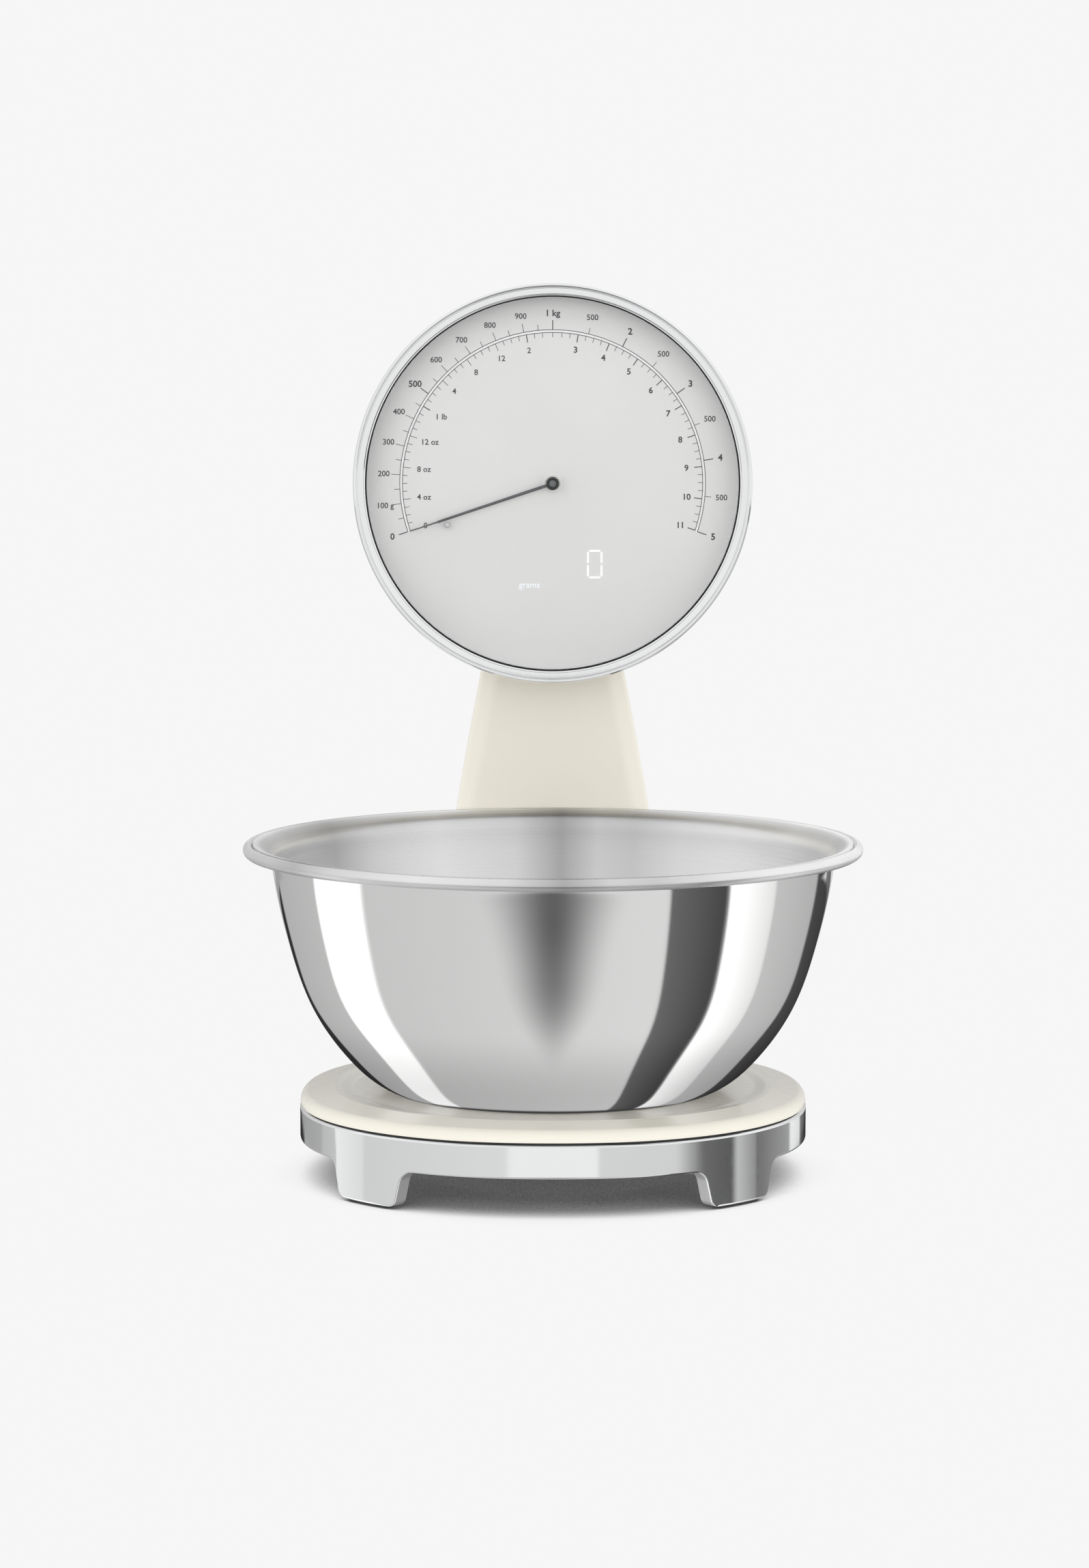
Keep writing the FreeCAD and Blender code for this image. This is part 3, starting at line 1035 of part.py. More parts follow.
def make_motor():
    axle_front, axle_back = "CaseFront + CaseWall - AxleEnd", "CaseJoint + AxleEnd"
    output = gear_wheel("ToothSize", "OutputTeeth", "GearFront", "GearBack")
    shaft = rod("ShaftRadius", "HubFront", axle_back)
    set_shape("output_gear", output.fuse(shaft).removeSplitter(), head=True)

    half_pinion_tooth = 180 / number("PinionTeeth")
    pinion = gear_wheel("ToothSize", "PinionTeeth", "GearFront", "GearBack", IDLER_Y, half_pinion_tooth)
    wheel = gear_wheel("FineToothSize", "IdlerTeeth", "SecondFront", "SecondBack", IDLER_Y)
    axle = rod("AxleRadius", axle_front, axle_back, IDLER_Y)
    neck = rod("AxleRadius * 3", "GearBack", "SecondFront", IDLER_Y)
    set_shape("idler_gear", pinion.fuse([wheel, axle, neck]).removeSplitter(), head=True)

    half_rotor_tooth = 180 / number("RotorTeeth")
    small = gear_wheel("FineToothSize", "RotorTeeth", "SecondFront", "SecondBack", ROTOR_Y, half_rotor_tooth)
    magnet = rod("MagnetRadius", "MagnetFront", "MagnetBack", ROTOR_Y)
    axle = rod("AxleRadius", axle_front, axle_back, ROTOR_Y)
    neck = rod("AxleRadius * 2", "SecondBack", "MagnetFront", ROTOR_Y)
    set_shape("rotor", small.fuse([magnet, axle, neck]).removeSplitter(), head=True)

    stator_y = (f"{ROTOR_Y} - StatorHalfY", f"{ROTOR_Y} + StatorHalfY")
    stator_z = behind("StatorFront", "StatorBack")
    on_head("motor_stator",
            cut("Stator", slab("StatorPlate", ("-StatorHalfX", "StatorHalfX"), stator_y, stator_z),
                post("StatorHole", "StatorBore", stator_z, 0, ROTOR_Y)))
    coils = []
    for side, ends in (("L", ("-CoilFar", "-CoilNear")), ("R", ("CoilNear", "CoilFar"))):
        block = slab("CoilBlock" + side, ends, (f"{ROTOR_Y} - CoilHalfY", f"{ROTOR_Y} + CoilHalfY"),
                     behind("CoilFront", "CoilBack"))
        coils.append(cut("Coil" + side, block, slab("CoilCore" + side, ends, stator_y, stator_z)))
    on_head("motor_coils", group("Coils", coils))

    side, low, top = ("-CaseHalf", "CaseHalf"), "CaseLow", "CaseTop"
    box = slab("CaseBox", side, (low, top), behind("CaseFront", "CaseJoint"))
    room = slab("CaseRoom", ("CaseWall - CaseHalf", "CaseHalf - CaseWall"),
                (f"{low} + CaseWall", f"{top} - CaseWall"),
                behind("CaseFront + CaseWall", "CaseJoint"))
    lid = slab("CaseLid", side, (low, top), behind("CaseJoint", "CaseBack"))
    for label, name, solid, ends, tools in (
            ("motor_case_front", "CaseFrontHalf", box, ("CaseFront", "CaseFront + CaseWall"), [room]),
            ("motor_case_rear", "CaseRearHalf", lid, ("CaseJoint", "CaseBack"), [])):
        bearings = [post(name + "Shaft", "ShaftRadius + RunGap", behind(*ends)),
                    post(name + "Idler", "AxleRadius + RunGap", behind(*ends), 0, IDLER_Y),
                    post(name + "Rotor", "AxleRadius + RunGap", behind(*ends), 0, ROTOR_Y)]
        on_head(label, cut(name, solid, *tools, *bearings))


# ---------------------------------------------------------------------------------------------
# The whole scale
# ---------------------------------------------------------------------------------------------

def check_document():
    """Stops before anything is written if a feature failed or a sub-part has no valid shape."""
    for item in doc.Objects:
        if "Invalid" in item.State or "Error" in item.State:
            raise RuntimeError(f"{item.Name} ({item.Label}) failed: {item.State}")
    for label, piece in NODES.items():
        shape = piece.Shape
        if shape.isNull() or not shape.isValid() or not shape.Solids:
            raise RuntimeError(f"{label} has no valid solid")
        print(f"{label}: {len(shape.Solids)} solid(s), {shape.Volume:.1f} mm3")


def write_parts():
    os.makedirs("parts", exist_ok=True)
    for label, piece in NODES.items():
        piece.Shape.exportStep(f"parts/{label}.step")
    print(f"{len(NODES)} sub-parts written")


def main():
    fill_sheet()
    for make in (make_base_ring, make_foot_pads, make_base_tray, make_load_cell, make_fasteners,
                 make_batteries, make_battery_door, make_base_board, make_dust_seal, make_cable,
                 make_weighing_plate, make_bowl, make_column, make_bezel_and_glass, make_dial, make_drum,
                 make_chassis, make_pointer, make_motor):
        make()
        doc.recompute()
    check_document()
    write_parts()


main()
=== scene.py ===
"""Kitchen scale: the visible pieces, materials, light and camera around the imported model.

The shapes are worked out in millimetres. Pieces of the base, plate and bowl are written about the
weighing axis, as (x, y, z) with y = 0 on that axis and z = 0 on the table. Pieces of the dial head are
written as (u, v, depth): u to the reader's right, v up from the dial's centre, and depth back from
the bezel's front.
"""

import json
import math

import bmesh
import bpy
import numpy
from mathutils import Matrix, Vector

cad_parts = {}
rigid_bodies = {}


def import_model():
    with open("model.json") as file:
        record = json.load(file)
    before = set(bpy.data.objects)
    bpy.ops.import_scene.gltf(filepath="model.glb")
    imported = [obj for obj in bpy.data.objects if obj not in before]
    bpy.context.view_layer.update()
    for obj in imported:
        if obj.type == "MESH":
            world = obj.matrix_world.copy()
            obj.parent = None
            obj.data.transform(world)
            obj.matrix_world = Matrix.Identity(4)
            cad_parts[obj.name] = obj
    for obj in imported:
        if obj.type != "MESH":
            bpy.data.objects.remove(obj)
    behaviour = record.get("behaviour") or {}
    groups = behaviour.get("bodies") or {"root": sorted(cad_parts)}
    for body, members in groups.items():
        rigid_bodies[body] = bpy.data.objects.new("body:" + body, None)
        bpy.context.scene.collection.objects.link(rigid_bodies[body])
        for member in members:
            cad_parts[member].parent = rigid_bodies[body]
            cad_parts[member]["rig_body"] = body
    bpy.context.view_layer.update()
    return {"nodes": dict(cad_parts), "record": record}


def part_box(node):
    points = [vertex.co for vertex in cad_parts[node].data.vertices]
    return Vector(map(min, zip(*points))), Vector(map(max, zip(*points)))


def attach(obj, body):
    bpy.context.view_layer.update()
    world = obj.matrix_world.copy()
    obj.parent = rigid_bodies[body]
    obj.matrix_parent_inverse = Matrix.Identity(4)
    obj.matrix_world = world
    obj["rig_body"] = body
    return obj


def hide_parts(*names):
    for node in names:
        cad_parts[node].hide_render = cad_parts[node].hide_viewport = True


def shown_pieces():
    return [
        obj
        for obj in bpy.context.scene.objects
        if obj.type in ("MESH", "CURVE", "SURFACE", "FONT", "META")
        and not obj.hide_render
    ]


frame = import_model()

MM = 0.001
SLOTS = {part["node"]: part["material_slot"] for part in frame["record"]["subparts"]}
BODIES = {node: body for body, nodes in frame["record"]["behaviour"]["bodies"].items() for node in nodes}


def span(node):
    """The lowest and highest corner of a CAD node in millimetres."""
    low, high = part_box(node)
    return low / MM, high / MM


PLATE_LOW, PLATE_HIGH = span("weighing_plate")
LENS_LOW, LENS_HIGH = span("lens")
BEZEL_LOW, BEZEL_HIGH = span("bezel")
RING_LOW, RING_HIGH = span("base_ring")
BOWL_LOW, BOWL_HIGH = span("bowl")
DIAL_LOW = span("dial_plate")[0]
COLUMN_HIGH = span("column_front_shell")[1]

AXIS_Y = (PLATE_LOW.y + PLATE_HIGH.y) / 2
DIAL_Z = (LENS_LOW.z + LENS_HIGH.z) / 2
FACE_Y = BEZEL_LOW.y


# ---------------------------------------------------------------------------------------------
# Node trees
# ---------------------------------------------------------------------------------------------

class Tree:
    """A node tree: each input given is a value, or a socket to link it to."""

    def __init__(self, tree):
        self.tree = tree
        tree.nodes.clear()

    def make(self, kind, inputs=None, **settings):
        node = self.tree.nodes.new("ShaderNode" + kind)
        for name, value in settings.items():
            setattr(node, name, value)
        for key, value in (inputs or {}).items():
            if isinstance(value, bpy.types.NodeSocket):
                self.tree.links.new(value, node.inputs[key])
            else:
                node.inputs[key].default_value = value
        return node

    def math(self, operation, *values):
        return self.make("Math", dict(enumerate(values)), operation=operation).outputs[0]

    def fade(self, value, start, end, low=0.0, high=1.0):
        """A smooth step of the value from low at start to high at end."""
        inputs = {"Value": value, "From Min": start, "From Max": end, "To Min": low, "To Max": high}
        return self.make("MapRange", inputs, interpolation_type="SMOOTHSTEP").outputs[0]

    def ramp(self, factor, stops):
        """Grey stops of (place, value), with places from 0 to 1 and values up to 2."""
        node = self.make("ValToRGB", {"Fac": factor})
        ramp = node.color_ramp
        while len(ramp.elements) < len(stops):
            ramp.elements.new(0.5)
        for element, (place, value) in zip(ramp.elements, stops):
            element.position = place
            element.color = (value / 2, value / 2, value / 2, 1)
        return self.math("MULTIPLY", self.make("RGBToBW", {"Color": node.outputs[0]}).outputs[0], 2.0)

    def mix(self, factor, first, second):
        """A mix of two numbers."""
        node = self.make("Mix", {0: factor, 2: first, 3: second}, data_type="FLOAT")
        return node.outputs[0]

    def mix_colour(self, factor, first, second):
        node = self.make("Mix", {0: factor, 6: first, 7: second}, data_type="RGBA")
        return node.outputs[2]

    def noise(self, place, scale, detail=2.0, stretch=None):
        if stretch:
            place = self.make("Mapping", {"Vector": place, "Scale": stretch}).outputs[0]
        inputs = {"Vector": place, "Scale": scale, "Detail": detail}
        return self.make("TexNoise", inputs).outputs[0]

    def show(self, inputs):
        """Ends a material in a principled shader with these inputs."""
        shader = self.make("BsdfPrincipled", inputs)
        self.make("OutputMaterial", {"Surface": shader.outputs[0]})


def new_material(slot, name=None):
    material = bpy.data.materials.new(name or slot)
    material.use_nodes = True
    material["slot"] = slot
    return material, Tree(material.node_tree)


def tint(colour, factor):
    return tuple(min(1.0, channel * factor) for channel in colour) + (1.0,)


def surface(slot, colour, rough, metal=0.0, vary=0.05, uneven=0.04, grain=900, stretch=None, bump=0.06,
            depth=0.0001, name=None, **settings):
    """A material whose colour, gloss and relief come from noise; grain is its scale per metre."""
    material, tree = new_material(slot, name)
    place = tree.make("TexCoord").outputs["Object"]
    fine = tree.noise(place, grain, 3.0, stretch)
    broad = tree.noise(place, 18, 2.0)
    shade = tree.mix(0.35, broad, fine)
    inputs = {
        "Base Color": tree.mix_colour(shade, tint(colour, 1 - vary), tint(colour, 1 + vary)),
        "Metallic": metal,
        "Roughness": tree.fade(fine, 0.3, 0.7, max(0.02, rough - uneven), rough + uneven),
        "Normal": tree.make("Bump", {"Height": fine, "Strength": bump, "Distance": depth}).outputs[0],
    }
    inputs.update(settings)
    tree.show(inputs)
    return material


def lamp(slot, name, colour, strength):
    """A lit digit or word: mostly its own light, a little unevenly spread."""
    material, tree = new_material(slot, name)
    glow = tree.noise(tree.make("TexCoord").outputs["Object"], 260, 1.0)
    tree.show({
        "Base Color": tint(colour, 0.5), "Roughness": 0.4,
        "Emission Color": tree.mix_colour(glow, tint(colour, 0.96), tint(colour, 1.0)),
        "Emission Strength": strength})
    return material


def clear_glass(slot):
    """Thin clear glass: it lets light through and mirrors more towards grazing views."""
    material, tree = new_material(slot)
    place = tree.make("TexCoord").outputs["Object"]
    smear = tree.noise(place, 60, 2.0)
    mirror = tree.make("BsdfGlossy", {
        "Color": (1, 1, 1, 1), "Roughness": tree.fade(smear, 0.3, 0.7, 0.01, 0.03)})
    through = tree.make("BsdfTransparent", {
        "Color": tree.mix_colour(smear, (0.978, 0.978, 0.976, 1), (0.988, 0.988, 0.987, 1))})
    share = tree.math("MULTIPLY", tree.make("Fresnel", {"IOR": 1.4}).outputs[0],
                      tree.math("SUBTRACT", 1.0, tree.make("NewGeometry").outputs["Backfacing"]))
    both = tree.make("MixShader", {0: share, 1: through.outputs[0], 2: mirror.outputs[0]})
    tree.make("OutputMaterial", {"Surface": both.outputs[0]})
    return material


BRUSH_LINES_PER_METRE, BRUSH_LINES_PER_RADIAN = 1900.0, 0.6
# Painted reflection: brightness of the brushed steel round the bowl, by the turn from its right, 0, to its
# left, 1, laid into its colour as light and dark sectors.
PAINTED_FAN_SHEEN = [
    (0.0, 1.04), (0.16, 1.12), (0.27, 1.02), (0.34, 0.92), (0.40, 0.74), (0.445, 0.80), (0.49, 0.52),
    (0.545, 0.86), (0.64, 0.98), (0.74, 0.82), (0.80, 0.62), (0.86, 0.80), (0.93, 0.92), (1.0, 0.9)]
# Two changes of brightness below the rim, both painted light: a painted shade band, then a painted highlight
# nearer the rim; each from one radius to another in metres, from one factor to another.
PAINTED_SHADE_BAND = (0.1165, 0.1215, 1.0, 0.78)
PAINTED_HIGHLIGHT_LIP = (0.1235, 0.1265, 1.0, 1.33)


def brushed_steel(slot, name):
    """Steel brushed round the bowl's axis: fine lines along the turn, softer and darker patches, a painted
    reflection in sectors round the turn, and painted shade and highlight below the rim.
    """
    material, tree = new_material(slot, name)
    place = tree.make("TexCoord").outputs["Object"]
    local = tree.make("VectorMath", {0: place, 1: (0, AXIS_Y * MM, 0)}, operation="SUBTRACT").outputs[0]
    parts = tree.make("SeparateXYZ", {"Vector": local})
    across = tree.math("SQRT", tree.math("ADD", tree.math("POWER", parts.outputs[0], 2.0),
                                         tree.math("POWER", parts.outputs[1], 2.0)))
    turn = tree.math("ARCTAN2", parts.outputs[1], parts.outputs[0])
    lines_at = tree.make("CombineXYZ", {
        "X": tree.math("MULTIPLY", turn, BRUSH_LINES_PER_RADIAN),
        "Y": tree.math("MULTIPLY", across, BRUSH_LINES_PER_METRE),
        "Z": tree.math("MULTIPLY", parts.outputs[2], BRUSH_LINES_PER_METRE)})
    lines = tree.noise(lines_at.outputs[0], 1.0, 4.0)
    patch = tree.noise(place, 26, 2.0)
    shade = tree.mix(0.5, lines, patch)
    # Painted reflection: light and dark sectors round the turn, fixed in the colour.
    painted_fan_sheen = tree.ramp(tree.math("MULTIPLY", tree.math("ABSOLUTE", turn), 1 / math.pi), PAINTED_FAN_SHEEN)
    # Painted shade over the flange and painted highlight towards the rim, multiplied into the colour.
    lip = tree.math("MULTIPLY", tree.fade(across, *PAINTED_SHADE_BAND), tree.fade(across, *PAINTED_HIGHLIGHT_LIP))
    tone = tree.math("MULTIPLY", tree.math("MULTIPLY", painted_fan_sheen, lip), tree.fade(shade, 0.3, 0.7, 0.92, 1.04))
    colour = tree.make("VectorMath", {0: (0.86, 0.86, 0.865), "Scale": tone}, operation="SCALE")
    tree.show({
        "Base Color": colour.outputs[0],
        "Metallic": 1.0,
        "Roughness": tree.fade(shade, 0.3, 0.7, 0.26, 0.4),
        "Anisotropic": 0.75,
        "Tangent": tree.make("Tangent", direction_type="RADIAL", axis="Z").outputs[0],
        "Normal": tree.make("Bump", {"Height": lines, "Strength": 0.12, "Distance": 0.00005}).outputs[0]})
    return material


# The dial's shade: its centre in millimetres from the dial's, and the radii where it grows, in metres.
SHADE_RIGHT, SHADE_DOWN = 1.0, 9.0
SHADE_FROM, SHADE_FULL = 0.072, 0.098


def dial_silver(slot):
    """Satin silver of the dial face, with a fine sprayed grain and a soft shade under the bezel's top."""
    material, tree = new_material(slot)
    place = tree.make("TexCoord").outputs["Object"]
    grain = tree.noise(place, 5200, 2.0)
    broad = tree.noise(place, 14, 1.0)
    centre = (SHADE_RIGHT * MM, FACE_Y * MM, (DIAL_Z - SHADE_DOWN) * MM)
    off_centre = tree.make("VectorMath", {0: place, 1: centre}, operation="SUBTRACT").outputs[0]
    flat = tree.make("VectorMath", {0: off_centre, 1: (1.0, 0.0, 1.0)}, operation="MULTIPLY").outputs[0]
    out = tree.make("VectorMath", {0: flat}, operation="LENGTH").outputs["Value"]
    shade = tree.fade(out, SHADE_FROM, SHADE_FULL, 1.0, 0.78)
    speck = tree.fade(tree.mix(0.5, grain, broad), 0.3, 0.7, 0.975, 1.02)
    factor = tree.math("MULTIPLY", shade, speck)
    colour = tree.make("VectorMath", {0: (0.785, 0.782, 0.780), "Scale": factor}, operation="SCALE")
    tree.show({
        "Base Color": colour.outputs[0], "Metallic": 0.25, "Roughness": 0.5, "Specular IOR Level": 0.3,
        "Normal": tree.make("Bump", {"Height": grain, "Strength": 0.05, "Distance": 0.00004}).outputs[0]})
    return material


def circuit_board(slot):
    """Green solder resist with lighter tracks on a square grid."""
    material, tree = new_material(slot)
    place = tree.make("TexCoord").outputs["Object"]
    cells = tree.make("TexVoronoi", {"Vector": place, "Scale": 420.0}, distance="CHEBYCHEV",
                      feature="DISTANCE_TO_EDGE")
    track = tree.fade(cells.outputs[0], 0.06, 0.1)
    relief = tree.make("Bump", {"Height": track, "Strength": 0.3, "Distance": 0.00008}, invert=True)
    tree.show({
        "Base Color": tree.mix_colour(track, (0.09, 0.33, 0.17, 1), (0.035, 0.17, 0.09, 1)),
        "Roughness": tree.fade(tree.noise(place, 900), 0.3, 0.7, 0.3, 0.42),
        "Normal": relief.outputs[0]})
    return material


def copper_coil(slot):
    """Enamelled wire: fine turns side by side."""
    material, tree = new_material(slot)
    place = tree.make("TexCoord").outputs["Object"]
    wire = tree.make("TexWave", {"Vector": place, "Scale": 900.0, "Distortion": 0.6, "Detail": 1.0},
                     bands_direction="X").outputs[1]
    tree.show({
        "Base Color": tree.mix_colour(wire, (0.36, 0.13, 0.05, 1), (0.72, 0.36, 0.17, 1)),
        "Metallic": 0.9, "Roughness": 0.3,
        "Normal": tree.make("Bump", {"Height": wire, "Strength": 0.6, "Distance": 0.0001}).outputs[0]})
    return material


CREAM = (0.825, 0.795, 0.70)
FINISHES = {
    "chrome": surface("chrome", (0.86, 0.865, 0.87), 0.07, 1.0, vary=0.012, uneven=0.015, grain=500,
                      bump=0.01),
    "bowl_steel": surface("bowl_steel", (0.87, 0.87, 0.865), 0.05, 1.0, vary=0.015, uneven=0.01,
                          grain=700, stretch=(1, 1, 6), bump=0.012),
    "cream_body": surface("cream_body", CREAM, 0.2, vary=0.012, uneven=0.03, grain=240, bump=0.02),
    "black_rubber": surface("black_rubber", (0.022, 0.022, 0.023), 0.7, vary=0.25, grain=2500, bump=0.3),
    "grey_plastic": surface("grey_plastic", (0.30, 0.30, 0.31), 0.5, vary=0.06, grain=3200, bump=0.25),
    "white_plastic": surface("white_plastic", (0.80, 0.79, 0.76), 0.32, vary=0.02, grain=1800, bump=0.08),
    "black_plastic": surface("black_plastic", (0.03, 0.03, 0.032), 0.45, vary=0.2, grain=2600, bump=0.2),
    "screw_steel": surface("screw_steel", (0.62, 0.62, 0.61), 0.3, 1.0, vary=0.1, grain=2400,
                           stretch=(1, 1, 5), bump=0.15),
    "frame_steel": surface("frame_steel", (0.55, 0.56, 0.56), 0.36, 1.0, vary=0.07, grain=900,
                           stretch=(9, 1, 1), bump=0.12),
    "aluminium": surface("aluminium", (0.80, 0.81, 0.82), 0.28, 1.0, vary=0.05, grain=1500,
                         stretch=(1, 8, 8), bump=0.1),
    "cell_jacket": surface("cell_jacket", (0.10, 0.16, 0.24), 0.28, vary=0.08, grain=1600, bump=0.05),
    "contact_metal": surface("contact_metal", (0.72, 0.70, 0.66), 0.25, 1.0, vary=0.06, grain=2000, bump=0.1),
    "circuit_board": circuit_board("circuit_board"),
    "glass": clear_glass("glass"),
    "dial_silver": dial_silver("dial_silver"),
    "pointer_metal": surface("pointer_metal", (0.16, 0.165, 0.17), 0.3, 0.85, vary=0.08, grain=2400,
                             bump=0.08),
    "pin_metal": surface("pin_metal", (0.70, 0.70, 0.70), 0.2, 1.0, vary=0.05, grain=2600, bump=0.05),
    "brass": surface("brass", (0.72, 0.54, 0.25), 0.26, 1.0, vary=0.06, grain=2200, bump=0.1),
    "copper_wire": copper_coil("copper_wire"),
    "digit_window": lamp("digit_window", "digit_light", (1.0, 1.0, 1.0), 0.55),
}
DARK_HUB = surface("pointer_metal", (0.05, 0.052, 0.055), 0.22, 0.8, vary=0.1, grain=2400, bump=0.08,
                   name="pointer_hub_dark")
BRUSHED = brushed_steel("bowl_steel", "bowl_steel_brushed")
INK = surface("dial_silver", (0.05, 0.052, 0.055), 0.5, vary=0.15, grain=3000, bump=0.1, name="dial_ink")
WHITE_LINE = surface("dial_silver", (0.86, 0.86, 0.86), 0.4, vary=0.03, grain=3000, bump=0.05,
                     name="dial_white")
SEAL = surface("chrome", (0.012, 0.012, 0.012), 0.6, vary=0.3, grain=2600, bump=0.3, name="dark_seal",
               **{"Specular IOR Level": 0.12})
# Darker satin copy of the chrome: painted shade on the ring's underside.
SHADED_UNDERSIDE_CHROME = surface("chrome", (0.42, 0.42, 0.42), 0.34, 1.0, vary=0.05, grain=900, bump=0.05,
                    name="chrome_satin_painted_shade")
WORD_LIGHT = lamp("digit_window", "word_light", (0.90, 0.95, 1.0), 0.62)

for node, shown in frame["nodes"].items():
    shown.data.materials.clear()
    shown.data.materials.append(FINISHES[SLOTS[node]])


# ---------------------------------------------------------------------------------------------
# Shapes
# ---------------------------------------------------------------------------------------------

def on_table(x, y, z):
    return Vector((x, AXIS_Y + y, z)) * MM


def on_head(u, v, depth):
    return Vector((u, FACE_Y + depth, DIAL_Z + v)) * MM


def piece(name, points, faces, finish, body, replaces=(), sharp=34, chosen=None):
    """A mesh piece riding on a body; finish is one material or several, chosen by face."""
    finishes = finish if isinstance(finish, list) else [finish]
    mesh = bpy.data.meshes.new(name)
    mesh.from_pydata(points, [], faces)
    for material in finishes:
        mesh.materials.append(material)
    if chosen:
        mesh.polygons.foreach_set("material_index", chosen)
    shape = bmesh.new()
    shape.from_mesh(mesh)
    bmesh.ops.remove_doubles(shape, verts=shape.verts, dist=1e-7)
    bmesh.ops.recalc_face_normals(shape, faces=shape.faces)
    shape.to_mesh(mesh)
    shape.free()
    return shown_piece(name, mesh, body, replaces, sharp)


def shown_piece(name, mesh, body, replaces=(), sharp=34):
    mesh.shade_smooth()
    mesh.set_sharp_from_angle(angle=math.radians(sharp))
    shown = bpy.data.objects.new(name, mesh)
    bpy.context.scene.collection.objects.link(shown)
    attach(shown, body)
    if replaces:
        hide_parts(*replaces)
    even = shown.modifiers.new("even_normals", "WEIGHTED_NORMAL")
    even.keep_sharp = True
    return shown


def rounded(corners, steps=6, closed=True):
    """A line through (a, b) corners; a corner with a third number is rounded to that radius."""
    line = []
    for place, corner in enumerate(corners):
        here = Vector(corner[:2])
        if len(corner) < 3 or (not closed and place in (0, len(corners) - 1)):
            line.append(tuple(here))
            continue
        to_before = (Vector(corners[place - 1][:2]) - here).normalized()
        to_after = (Vector(corners[(place + 1) % len(corners)][:2]) - here).normalized()
        half = to_before.angle(to_after) / 2
        centre = here + (to_before + to_after).normalized() * corner[2] / math.sin(half)
        start = here + to_before * corner[2] / math.tan(half) - centre
        end = here + to_after * corner[2] / math.tan(half) - centre
        sweep = math.copysign(math.pi - 2 * half, start.x * end.y - start.y * end.x)
        for step in range(steps + 1):
            turn = sweep * step / steps
            line.append((centre.x + start.x * math.cos(turn) - start.y * math.sin(turn),
                         centre.y + start.x * math.sin(turn) + start.y * math.cos(turn)))
    return line


def spline(points, first, last, count):
    """Points along a smooth curve through the given ones, with given directions at its ends."""
    points = numpy.array(points, float)
    steps = numpy.linalg.norm(numpy.diff(points, axis=0), axis=1)
    places = numpy.concatenate([[0], numpy.cumsum(steps)])
    size = len(points)
    matrix, target = numpy.eye(size), numpy.zeros((size, 2))
    target[0] = numpy.array(first) / numpy.linalg.norm(first)
    target[-1] = numpy.array(last) / numpy.linalg.norm(last)
    for k in range(1, size - 1):
        before, after = steps[k - 1], steps[k]
        matrix[k, k - 1:k + 2] = after, 2 * (before + after), before
        target[k] = 3 * (after * (points[k] - points[k - 1]) / before
                         + before * (points[k + 1] - points[k]) / after)
    slopes = numpy.linalg.solve(matrix, target)
    line = []
    for place in numpy.linspace(0, places[-1], count):
        k = min(size - 2, int(numpy.searchsorted(places, place, side="right")) - 1)
        length = steps[k]
        t = (place - places[k]) / length
        line.append(tuple((2 * t**3 - 3 * t**2 + 1) * points[k] + (t**3 - 2 * t**2 + t) * length * slopes[k]
                          + (3 * t**2 - 2 * t**3) * points[k + 1] + (t**3 - t**2) * length * slopes[k + 1]))
    return line


def offset(line, distance):
    """The line moved to its left by a distance."""
    moved = []
    for k, (a, b) in enumerate(line):
        before, after = line[max(0, k - 1)], line[min(len(line) - 1, k + 1)]
        along = Vector((after[0] - before[0], after[1] - before[1])).normalized()
        moved.append((a - along.y * distance, b + along.x * distance))
    return moved


def joined(rings, closed=False):
    """Faces between rings of vertex numbers; a ring of one repeated number is a pole."""
    faces = []
    pairs = list(zip(rings, rings[1:])) + ([(rings[-1], rings[0])] if closed else [])
    for lower, upper in pairs:
        for k in range(len(lower)):
            after = (k + 1) % len(lower)
            corners = list(dict.fromkeys((lower[k], lower[after], upper[after], upper[k])))
            if len(corners) > 2:
                faces.append(corners)
    return faces


def turned(name, line, finish, body, replaces=(), place=on_head, turns=192, closed=True, split=None, **more):
    """A (radius, height) line turned about its axis; with split, its later part takes the second finish."""
    points, rings = [], []
    for radius, height in line:
        if radius < 1e-6:
            rings.append([len(points)] * turns)
            points.append(place(0, 0, height))
            continue
        rings.append(list(range(len(points), len(points) + turns)))
        for k in range(turns):
            angle = math.tau * k / turns
            points.append(place(radius * math.cos(angle), radius * math.sin(angle), height))
    faces = joined(rings, closed)
    chosen = None
    if split is not None:
        first_late = rings[split][0]
        chosen = [int(min(face) >= first_late) for face in faces]
    return piece(name, points, faces, finish, body, replaces, chosen=chosen, **more)


def stacked(name, loops, finish, body, replaces=(), place=on_table, closed=False, **more):
    """A skin over loops of (x, y, z) points of equal count, with both ends capped unless closed."""
    count = len(loops[0])
    points = [place(*point) for loop in loops for point in loop]
    rings = [list(range(k * count, (k + 1) * count)) for k in range(len(loops))]
    faces = joined(rings, closed)
    if not closed:
        faces += [rings[0][::-1], rings[-1]]
    return piece(name, points, faces, finish, body, replaces, **more)


def softened(node, width, name, segments=2, limit=32):
    """A copy of a CAD piece with its edges rounded."""
    shape = bmesh.new()
    shape.from_mesh(frame["nodes"][node].data)
    bmesh.ops.remove_doubles(shape, verts=shape.verts, dist=2e-6)
    bmesh.ops.dissolve_limit(shape, angle_limit=math.radians(0.6), verts=shape.verts, edges=shape.edges)
    mesh = bpy.data.meshes.new(name)
    shape.to_mesh(mesh)
    shape.free()
    finish = FINISHES[SLOTS[node]]
    mesh.materials.clear()
    mesh.materials.append(finish)
    shown = shown_piece(name, mesh, BODIES[node], [node])
    bevel = shown.modifiers.new("edges", "BEVEL")
    bevel.width = width * MM
    bevel.segments = segments
    bevel.limit_method = "ANGLE"
    bevel.angle_limit = math.radians(limit)
    bevel.harden_normals = True
    return shown


# ---------------------------------------------------------------------------------------------
# Base, plate and bowl
# ---------------------------------------------------------------------------------------------

BASE_HALF = RING_HIGH.x
